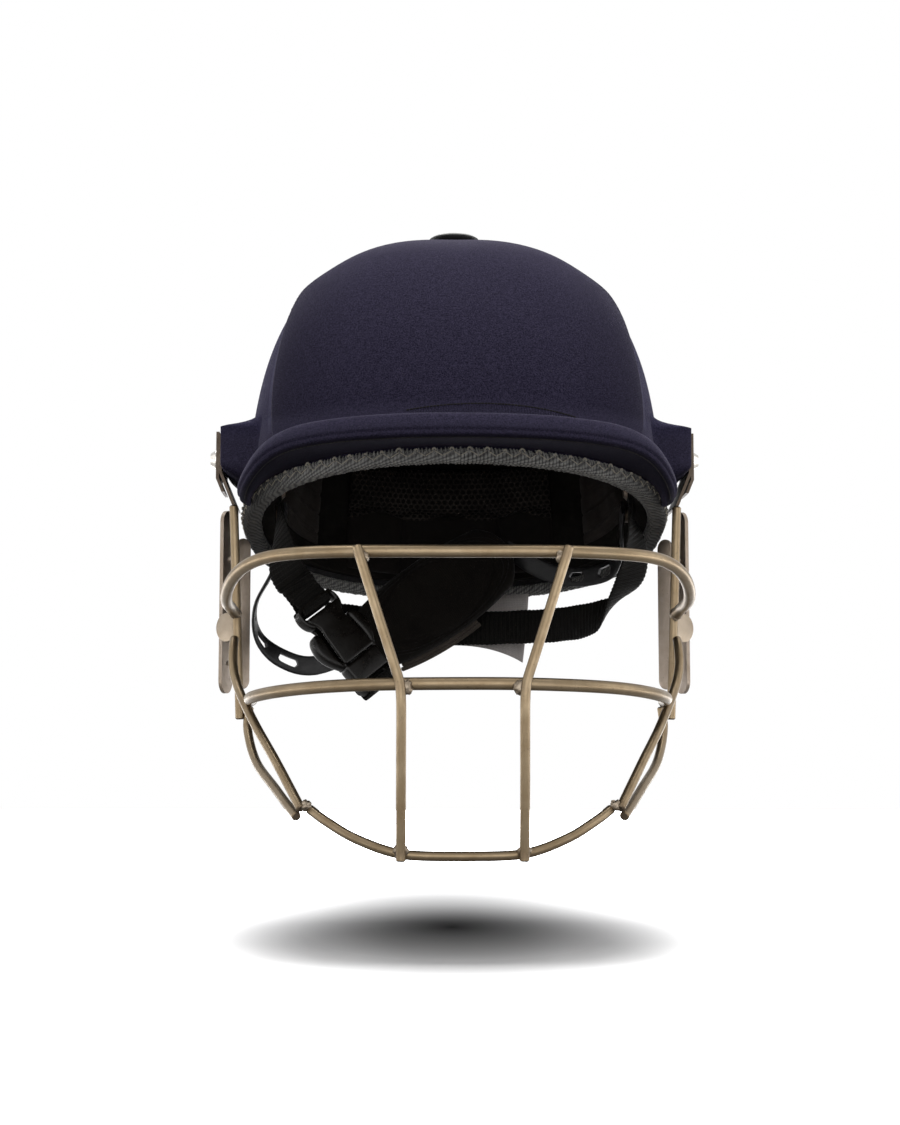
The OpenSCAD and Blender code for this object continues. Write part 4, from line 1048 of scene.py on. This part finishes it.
TOP_HALF, TOP_END_Y, MIDDLE_HALF, MIDDLE_END_Y = POST_X, POST_Y - 12, POST_X - 11.8, POST_Y - 34
REACH = (BAR_D + WIRE_D) / 2 + 0.15
LOW_Y = 10 - GRILLE_FRONT
JAW = np.array([68.0, 34 - GRILLE_FRONT, BOTTOM_Z + 19])
TOP_MEET = np.array([TOP_HALF - 1.6, POST_Y - REACH, TOP_Z - 17.5])
TURN = math.radians(40)


def top_y(x):
    return float(bar_y(x, TOP_HALF, TOP_END_Y, 3))


def middle_y(x):
    return float(bar_y(x, MIDDLE_HALF, MIDDLE_END_Y, 2.3))


WELDS = np.array([[41.5, top_y(41.5) - 2.5, TOP_Z - 2.5], [23.5, middle_y(23.5) - 2.6, MIDDLE_Z - 1.5],
                  [25.5, LOW_Y, BOTTOM_Z + 2.5], JAW + [-1.5, 1.5, 1.5],
                  [MIDDLE_HALF, MIDDLE_END_Y + 2.5, MIDDLE_Z - 4], TOP_MEET])
WELDS = np.concatenate([WELDS, mirrored(WELDS)])


def wire_piece(name, path, d, node):
    """A drawn wire, a little uneven, that is burnt at the welds and at its cut ends."""
    path, _ = resample(path, 1.6)
    wobble = np.stack([ripple(path, 60, 31 + k) for k in range(3)], axis=1) * 0.12
    path = path + wobble * np.sin(np.linspace(0, math.pi, len(path)))[:, None] ** 0.5
    to_weld = norm(path[:, None] - WELDS[None], axis=2).min(axis=1)
    to_end = np.minimum(norm(path - path[0], axis=1), norm(path - path[-1], axis=1))
    burnt = np.maximum(bell(to_weld, 3.5), bell(to_end, 1.3))
    form = Form().tube(path, d / 2, sides=24, cap=0.3, tag=burnt)
    form.object(name, "grille_steel", "grille", replaces=node, mark="burn")


def side_plate(name, node, look, outline, flip, at, across):
    """An upright flat plate of the grille, drawn for the right side."""
    matrix = frame_matrix(flip(at), flip(across), (0, 0, 1))
    place(outline_mesh([outline], 1.8, 0.5, matrix), name, look, "grille", node)


def build_grille():
    top = [mirrored(TOP_MEET), *bar_path(TOP_HALF, TOP_END_Y, 3, TOP_Z, 15, 8), TOP_MEET]
    wire_piece("top_wire", rounded(top, 5), BAR_D, "top_bar")
    middle = bar_path(MIDDLE_HALF, MIDDLE_END_Y, 2.3, MIDDLE_Z, 4, 3)
    wire_piece("middle_wire", middle, BAR_D, "middle_bar")
    half = smooth([[0, LOW_Y, BOTTOM_Z], [25, LOW_Y + 2, BOTTOM_Z + 1], [44, LOW_Y + 9, BOTTOM_Z + 7],
                   [57, LOW_Y + 18.5, BOTTOM_Z + 14], JAW + [-3.4, 2.9, 0]], 8)
    wire_piece("bottom_wire", np.concatenate([mirrored(half[:0:-1]), half]), WIRE_D, "bottom_bar")
    foot = LOW_Y + 2 - WIRE_D - 0.15
    knee = middle_y(25.5) - REACH
    upright = [[44.1, top_y(43.5) - REACH, TOP_Z + 2], [28.5, knee - 0.5, MIDDLE_Z + 8],
               [25.9, knee, MIDDLE_Z], [25.5, knee, MIDDLE_Z - 8],
               [25.5, foot, BOTTOM_Z + 1], [25.5, foot, BOTTOM_Z - 2]]
    post = [[POST_LOW_X, POST_Y, MIDDLE_Z - 12], [POST_X, POST_Y, -2.15]]
    jaw_top = np.array([POST_X, POST_Y - WIRE_D - 1, TOP_Z])
    steps = [[-1.5, 0, -29.5], [-1.5, -5, -33], [-2, -11, -43], [-5.5, -19, -54], [-14.5, -39, -70]]
    jaw = smooth([*(jaw_top + steps), JAW + [12, 19, 20], JAW], 8)
    rear_top = np.array([POST_LOW_X - WIRE_D - 0.3, POST_Y, MIDDLE_Z - 6])
    rear = smooth([rear_top, rear_top + [0.5, -3, -11], rear_top + [-5, -21, -26], JAW + [13, 32, 8],
                   JAW + (WIRE_D + 0.3) * np.array([0.45, 0.55, -0.72])], 8)
    r, strip_top, strip_low = 4.5, -15.6, MIDDLE_Z + 3
    turns = np.linspace(0, math.pi, 17)
    strip = [(r * math.cos(t), strip_top - r + r * math.sin(t)) for t in turns]
    strip += [(-r * math.cos(t), strip_low + r - r * math.sin(t)) for t in turns]
    disc = [(7 * math.cos(a), 7 * math.sin(a)) for a in full_turn(48)]
    for side, flip in (("left", mirrored), ("right", np.array)):
        wire_piece(f"{side}_upright_wire", rounded(flip(upright), 6), WIRE_D, f"{side}_upright")
        wire_piece(f"{side}_post_wire", flip(post), WIRE_D, f"{side}_post")
        wire_piece(f"{side}_jaw_wire", flip(jaw), WIRE_D, f"{side}_jaw_bar")
        wire_piece(f"{side}_rear_wire", flip(rear), WIRE_D, f"{side}_rear_jaw_bar")
        side_plate(f"{side}_inner_plate", f"{side}_inner_strip", "strip_steel", strip, flip,
                   [102.4, PIVOT_Y + 6, 0], [-math.sin(TURN), math.cos(TURN), 0])
        side_plate(f"{side}_round_tab", f"{side}_side_tab", "weld_steel", disc, flip,
                   [POST_X + 2.6, POST_Y + 3.4, TOP_Z - 23.5], [math.cos(TURN), math.sin(TURN), 0])
        ties = Form()
        for z in (TOP_Z + 6.5, MIDDLE_Z + 11.5):
            lean = POST_LOW_X + (POST_X - POST_LOW_X) * (z - MIDDLE_Z + 12) / (-2 - MIDDLE_Z + 12)
            for high, end in ((0, [104.2, -18.3]), (3.8, [108.8, -15.0])):
                rod = [[lean, POST_Y + WIRE_D / 2 + 0.2, z + high], [*end, z + high]]
                ties.tube(resample(flip(rod), 2)[0], 1.4, sides=14)
        ties.object(f"{side}_strip_ties", "strip_steel", "grille", "grille_steel", f"{side}_side_ties")
    beads = Form()
    rng = np.random.default_rng(9)
    lat, lon = np.linspace(0.04, math.pi - 0.04, 14)[:, None], full_turn(22)[None, :]
    ball = np.stack([np.sin(lat) * np.cos(lon), np.sin(lat) * np.sin(lon), -np.cos(lat) + 0 * lon], axis=-1)
    for spot in WELDS:
        squeeze = np.array([rng.uniform(0.9, 1.25), rng.uniform(0.8, 1.0), rng.uniform(0.9, 1.25)])
        r = 2.5 * (1 + 0.16 * ripple(ball * 3 + spot, 1.9, 41) + 0.08 * ripple(ball * 3 + spot, 0.8, 42))
        beads.rings(spot + ball * r[..., None] * squeeze)
    beads.object("weld_metal", "weld_steel", "grille", replaces="weld_beads", sharp=70)


# Straps and bands

def ribbon(stations, steps, w=STRAP_W, t=STRAP_T, rib=0.26, step=0.35, sides=18):
    """A strap through stations of place and direction across; returns its form, middle line and frames."""
    both = smooth(stations, steps)
    path, s = resample(both[:, :3], step)
    across = np.stack([np.interp(s, lengths(both[:, :3]), both[:, k]) for k in (3, 4, 5)], axis=1)
    tangent = unit(np.gradient(path, axis=0))
    out = unit(np.cross(tangent, unit(across)))
    across = unit(np.cross(out, tangent))
    a = full_turn(sides) + math.pi / sides
    flat, high = signed_power(np.cos(a), 0.35), signed_power(np.sin(a), 0.8)
    beat = 0.5 + 0.5 * np.cos(2 * math.pi * s / WEB_RIB)
    thick = t / 2 * (1 - rib * beat)
    half = w / 2 * (1 - 0.12 * rib * beat + 0.05 * rib * np.sin(s / 3.1))
    ring = path[:, None] + across[:, None] * (half[:, None] * flat[None, :])[..., None] \
        + out[:, None] * (thick[:, None] * high[None, :])[..., None]
    uv = (w / 2 * np.append(flat, flat[0])[None, :], s[:, None])
    return Form().rings(ring, uv=uv), path, across, out, s


COS_ROLL, SIN_ROLL = math.cos(BUCKLE_ROLL), math.sin(BUCKLE_ROLL)
COS_TURN, SIN_TURN = math.cos(BUCKLE_TURN), math.sin(BUCKLE_TURN)
BUCKLE_UP = np.array([-SIN_ROLL, 0, COS_ROLL])
BUCKLE_OUT = np.array([COS_ROLL * COS_TURN, SIN_TURN, SIN_ROLL * COS_TURN])
BUCKLE_FACE = np.cross(BUCKLE_OUT, BUCKLE_UP)


def at_buckle(x, y, z):
    """A place in the buckle's own frame: x across, y up along the strap, z out of its face."""
    return BUCKLE_AT + x * BUCKLE_OUT + y * BUCKLE_UP + z * BUCKLE_FACE


# The webbing's path round the buckle's bar, as height and depth in the buckle's frame
BAR_FOLD = [(15, 1.0), (9, 1.3), (5.6, 2.25), (3.5, 2.45), (1.9, 1.95), (1.15, 1.0), (1.0, 0), (1.15, -1.0),
            (1.9, -1.95), (3.5, -2.45), (5.6, -2.25), (9, -0.9), (15, -0.8), (21, -0.75)]
# Each station of a route is a place and a direction across the strap
LEFT_ROUTE = [[-SIDE_X, -14, 8, 0, -1, 0], [-84.5, -21, -10, 0.3, -0.95, 0.1],
              [-82, -31, -28, 0.75, -0.45, 0.4], [-77.5, -36, -37.5, 0.78, 0.0, 0.6]]
LEFT_ROUTE += [[*at_buckle(0, y, z), *BUCKLE_OUT] for y, z in BAR_FOLD]
RIGHT_END = at_buckle(0, -44.0, -6.2)
RIGHT_ROUTE = [[SIDE_X, -14, 8, 0, -1, 0], [86, -17, -8, -0.3, -0.95, 0], [88, -9, -23, -0.75, -0.6, -0.25],
               [85.5, 5, -37, -0.93, -0.2, -0.35], [75, 30, -49, -0.4, 0.1, -0.92], [58, 54, -52, 0, 0.1, -1],
               [36, 75, -52, 0, 0, -1], [8, 88, -52, 0, 0, -1], [-24, 90, -51, 0, 0, -1],
               [-50, 81, -49, 0, 0, -1], [-64, 62, -49, 0, 0, -1], [-64, 38, -53, -0.1, 0, -1],
               [-59, 12, -60, -0.2, 0.2, -0.95], [-51, -10, -69, -0.45, 0.2, -0.85],
               [-43, -25, -79, -0.7, -0.1, -0.7], [*RIGHT_END, *-BUCKLE_OUT]]
SOFT_FROM = 13


def build_straps():
    """The webbing; the right strap's last length, after its station SOFT_FROM, is a piece of its own that
    runs to the tongue.
    """
    ribbon(LEFT_ROUTE, 8)[0].object("left_webbing", "webbing", replaces="left_strap", sharp=60)
    route = smooth(RIGHT_ROUTE, 2)
    first, last = route[:SOFT_FROM * 2 + 1], route[SOFT_FROM * 2:]
    ribbon(first, 4)[0].object("right_webbing", "webbing", replaces="right_strap", sharp=60)
    end = ribbon(last, 6)[0].object("right_webbing_end", "webbing", None, replaces="right_strap", sharp=60)
    return end, last[0][:3], RIGHT_END


def join_meshes(name, meshes):
    bm = bmesh.new()
    for mesh in meshes:
        bm.from_mesh(mesh)
    joined = bpy.data.meshes.new(name)
    bm.to_mesh(joined)
    bm.free()
    return shade(joined)


def build_buckle():
    at = frame_matrix(BUCKLE_AT, BUCKLE_OUT, BUCKLE_UP)
    plate = both_ways([(9.6, -0.7), (10.6, -2.2), (8.6, -5.2), (7.6, -8), (8.4, -12), (8.8, -18),
                       (9.3, -23.5), (9.7, -27.2), (8.6, -28)])
    plate = round_corners(plate, [1, 1.5, 2, 3, 3, 3, 3, 1, 1] * 2, 5)
    walls = [outline_mesh([plate], 2.0, 0.75, at @ Matrix.Translation((0, 0, z))) for z in (3.5, -3.5)]
    cheeks = round_corners(both_ways([(9.8, 4.9), (11.7, 3.6), (12.3, 0.2), (11.4, -3.6), (9.0, -6.4)]), 2, 5)
    walls.append(outline_mesh([cheeks, box_outline(9.9, -0.6, 4.7, 0.8)[::-1]], 6.2, 1.0, at))
    walls.append(outline_mesh([box_outline(10.4, 4.6, 2.0, 0.6)], 2.8, 0.9, at))
    place(join_meshes("buckle_socket", walls), "buckle_socket", "buckle_plastic", replaces="buckle_female")
    base = both_ways([(9.9, -28.5), (10.5, -30), (10.5, -42), (8.8, -45.4)])
    base = round_corners(base, [1.2, 1.2, 3, 3] * 2, 5)
    parts = [outline_mesh([base, box_outline(9.2, -42.3, -39.3, 0.8)[::-1]], 7.9, 1.3, at)]
    wing = np.array([(10.4, -29.3), (12.6, -26.5), (15.6, -21.5), (16.6, -16.5), (15.6, -11.5), (13.2, -8.6),
                     (10.6, -8.4), (9.4, -10), (9.9, -16), (10.3, -22), (8.4, -29.3)])
    for side in (1, -1):
        outline = round_corners(wing * [side, 1], [0.5, 2, 3, 3, 3, 2, 2, 2, 3, 3, 0.5], 5)
        parts.append(outline_mesh([outline], 6.6, 1.8, at))
    tongue = round_corners([(-3.3, -29), (-2.6, -9.2), (2.6, -9.2), (3.3, -29)], 1)
    parts.append(outline_mesh([tongue], 3.6, 0.5, at))
    place(join_meshes("buckle_tongue", parts), "buckle_tongue", "buckle_plastic", "tongue",
          replaces="buckle_male")
    # webbing folded round the tongue's bar
    middle = -44.1
    loop = round_corners([(-46.9, -5.1), (-41.3, -5.1), (-41.3, 5.1), (-46.9, 5.1)], 2.2)

    def layer(x, high, deep):
        return [at_buckle(x, middle + (y - middle) * high, z * deep) for y, z in loop]

    columns = np.linspace(STRAP_W / 2, -STRAP_W / 2, 25)
    near = [1.0 if abs(x) < STRAP_W / 2 - 0.3 else 0.96 for x in columns]
    outer = np.array([layer(x, k, k) for x, k in zip(columns, near)])
    form = Form().slab(outer, np.array([layer(x, 0.55, 0.84) for x in columns]), wrap=True)
    form.object("webbing_fold", "webbing", "tongue", replaces="strap_loop", sharp=50)


def cradle_world(a, y, b):
    c, s = math.cos(CRADLE_ROLL), math.sin(CRADLE_ROLL)
    return CRADLE_AT + np.stack(np.broadcast_arrays(a * c + b * s, y, b * c - a * s), axis=-1)


def cradle_y(a):
    return -a * a / 190


BAND_Y = cradle_y(44) + 1.55
LEFT_BAND = [[-83.7, 4, 4, 0, 1, 0], [-83.7, 4, -7, 0, 1, 0], [-89, 7, -28, 0, 1, 0.1],
             [-98.5, 14, -46, 0, 1, 0.2], [-97.5, 23, -61, 0.2, 0.8, 0.5], [-86.5, 34, -71, 0.3, 0.3, 0.9],
             [-70, 46, -74, 0.1, 0, 1], [*cradle_world(-45.5, BAND_Y, 0), -0.57, 0, 0.82]]
RIGHT_BAND = [[83.7, 1, 2, 0, 0.8, 0.7], [83.7, 9, -6, 0, 0.8, 0.7], [84, 18, -20, 0, 0.8, 0.6],
              [78, 32, -27, -0.2, 0.3, 0.9], [62, 48, -28, 0, 0, 1], [45, 58, -22, -0.3, 0, 1],
              [*cradle_world(45.5, BAND_Y, 0), -0.57, 0, 0.82]]


def build_band(name, route, node, slots):
    """A moulded band with long slots through it, each given by its start, end and half width."""
    form, path, across, out, s = ribbon(route, 6, BAND_W, BAND_T, 0, step=1.2, sides=16)
    obj = form.object(name, "band_plastic", "cradle", replaces=node, sharp=35)
    cut = Form()
    for start, end, half in slots:
        keep = (s >= start) & (s <= end)
        at = s[keep]
        middle, span = (at[0] + at[-1]) / 2, (at[-1] - at[0]) / 2
        width = half * np.sqrt(np.clip(1 - (np.abs(at - middle) / span) ** 8, 0.02, 1))
        cut.rings(np.stack([path[keep] + across[keep] * width[:, None] * x + out[keep] * (BAND_T * z)
                            for x, z in ((-1, -1), (1, -1), (1, 1), (-1, 1))], axis=1))
    mesh = bpy.data.meshes.new("slots")
    mesh.from_pydata([tuple(p * MM) for p in np.concatenate(cut.points)], [],
                     [row.tolist() for faces in cut.faces for row in faces])
    bm = bmesh.new()
    bm.from_mesh(mesh)
    bmesh.ops.recalc_face_normals(bm, faces=bm.faces)
    bm.to_mesh(mesh)
    bm.free()
    cutter = add_object("slots", mesh)
    modifier = obj.modifiers.new("slots", "BOOLEAN")
    modifier.operation = "DIFFERENCE"
    modifier.object = cutter
    modifier.solver = "EXACT"
    bpy.context.view_layer.update()
    obj.data = bpy.data.meshes.new_from_object(obj.evaluated_get(bpy.context.evaluated_depsgraph_get()))
    obj.modifiers.clear()
    bpy.data.objects.remove(cutter)
    shade(obj.data)


def on_cradle(w, h, u, v, deep):
    """A place on the bent cradle: u and v from -1 to 1 over its width and height, deep behind its face."""
    a, b = w / 2 * u * np.sqrt(1 - 0.35 * v * v), h / 2 * v * np.sqrt(1 - 0.35 * u * u)
    return cradle_world(a, cradle_y(a) + deep, b)


def build_cradle():
    build_band("left_neck_band", LEFT_BAND, "left_band",
               [(28, 44, 2.2), (49, 64, 2.2), (69, 80, 2.0), (88, 102, 1.9)])
    build_band("right_neck_band", RIGHT_BAND, "right_band", [(38, 50, 2.6), (59, 70, 2.4)])

    def stuffed(u, v):
        channel = 0.14 * bell(np.hypot(u, v * 0.9) - 0.78, 0.035)
        return 0.30 + 0.70 * swell(u, v, 5, 4) - channel

    u, v = half_row(90), half_row(60).T
    front = on_cradle(CUSHION_W, CUSHION_H, u, v, -CUSHION_T * stuffed(u, v))
    front = front + unit(front - front.mean(axis=(0, 1))) * (0.3 * ripple(front, 14, 51))[..., None] * 0.6
    form = Form().slab(front, on_cradle(CUSHION_W, CUSHION_H, u, v, 0))
    cushion = form.object("neck_cushion", "cradle_cloth", "cradle", "pad_cloth", "cradle_pad", sharp=50)
    a = np.linspace(0, 2 * math.pi, 121)
    for k, scale in enumerate((0.93, 0.86)):
        u, v = (signed_power(turn(a), 0.55) * scale for turn in (np.cos, np.sin))
        line = on_cradle(CUSHION_W, CUSHION_H, u, v, -CUSHION_T * stuffed(u, v) - 0.1)
        seam_line(line, 0.26, 2.4, f"neck_cushion_stitch_{k}", "pad_cloth", "cradle")
    piping = Form()
    u = np.linspace(-0.92, 0.3, 50)
    for out, deep, r in ((0.6, 1.0, 1.5), (2.9, 1.6, 1.2)):
        piping.tube(on_cradle(CUSHION_W + 2 * out, CUSHION_H + 2 * out, u, -1.0, deep), r, sides=10)
    piping.object("neck_cushion_piping", "piping", "cradle", "pad_cloth")
    u, v = half_row(50), half_row(24).T
    w, h, back = CUSHION_W - 4, CUSHION_H - 6, 2.8
    front = on_cradle(w, h, u, v, back - 2.5 * (1 - 0.25 * np.maximum(u ** 12, v ** 12)))
    form = Form().slab(front, on_cradle(w, h, u, v, back))
    form.object("neck_frame", "band_plastic", "cradle", replaces="cradle_frame", sharp=35)


# CAD nodes that stay

def dress(look, bevel, *nodes, segments=2):
    """Gives nodes of the frame their material and rounds their edges."""
    for node in nodes:
        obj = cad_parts[node]
        obj.data.materials.clear()
        obj.data.materials.append(MATERIALS[look])
        if bevel:
            modifier = obj.modifiers.new("edge", "BEVEL")
            modifier.width = bevel * MM
            modifier.segments = segments
            modifier.limit_method = "ANGLE"
            modifier.angle_limit = math.radians(35)
            modifier.harden_normals = False


build_cover()
build_hard_shell()
build_front_seam()
build_peak()
build_binding()
build_liner()
build_pads()
build_neck_flap()
build_button()
build_grille()
strap_end, blend_from, blend_to = build_straps()
build_buckle()
build_cradle()
dress("peak_board", 0, "peak_core")
dress("plate_steel", 0.35, "left_clamp_plate", "right_clamp_plate", "left_hinge_tab", "right_hinge_tab")
dress("strip_steel", 0.5, "left_outer_strip", "right_outer_strip", segments=3)
dress("screw_steel", 0.2, "grille_screws", "screw_washers")
dress("plate_steel", 0.2, "screw_nuts", "strap_rivets", "band_pivots")
tuple(blend_from * MM)
tuple(blend_to * MM)
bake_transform(strap_end)

bpy.context.view_layer.update()
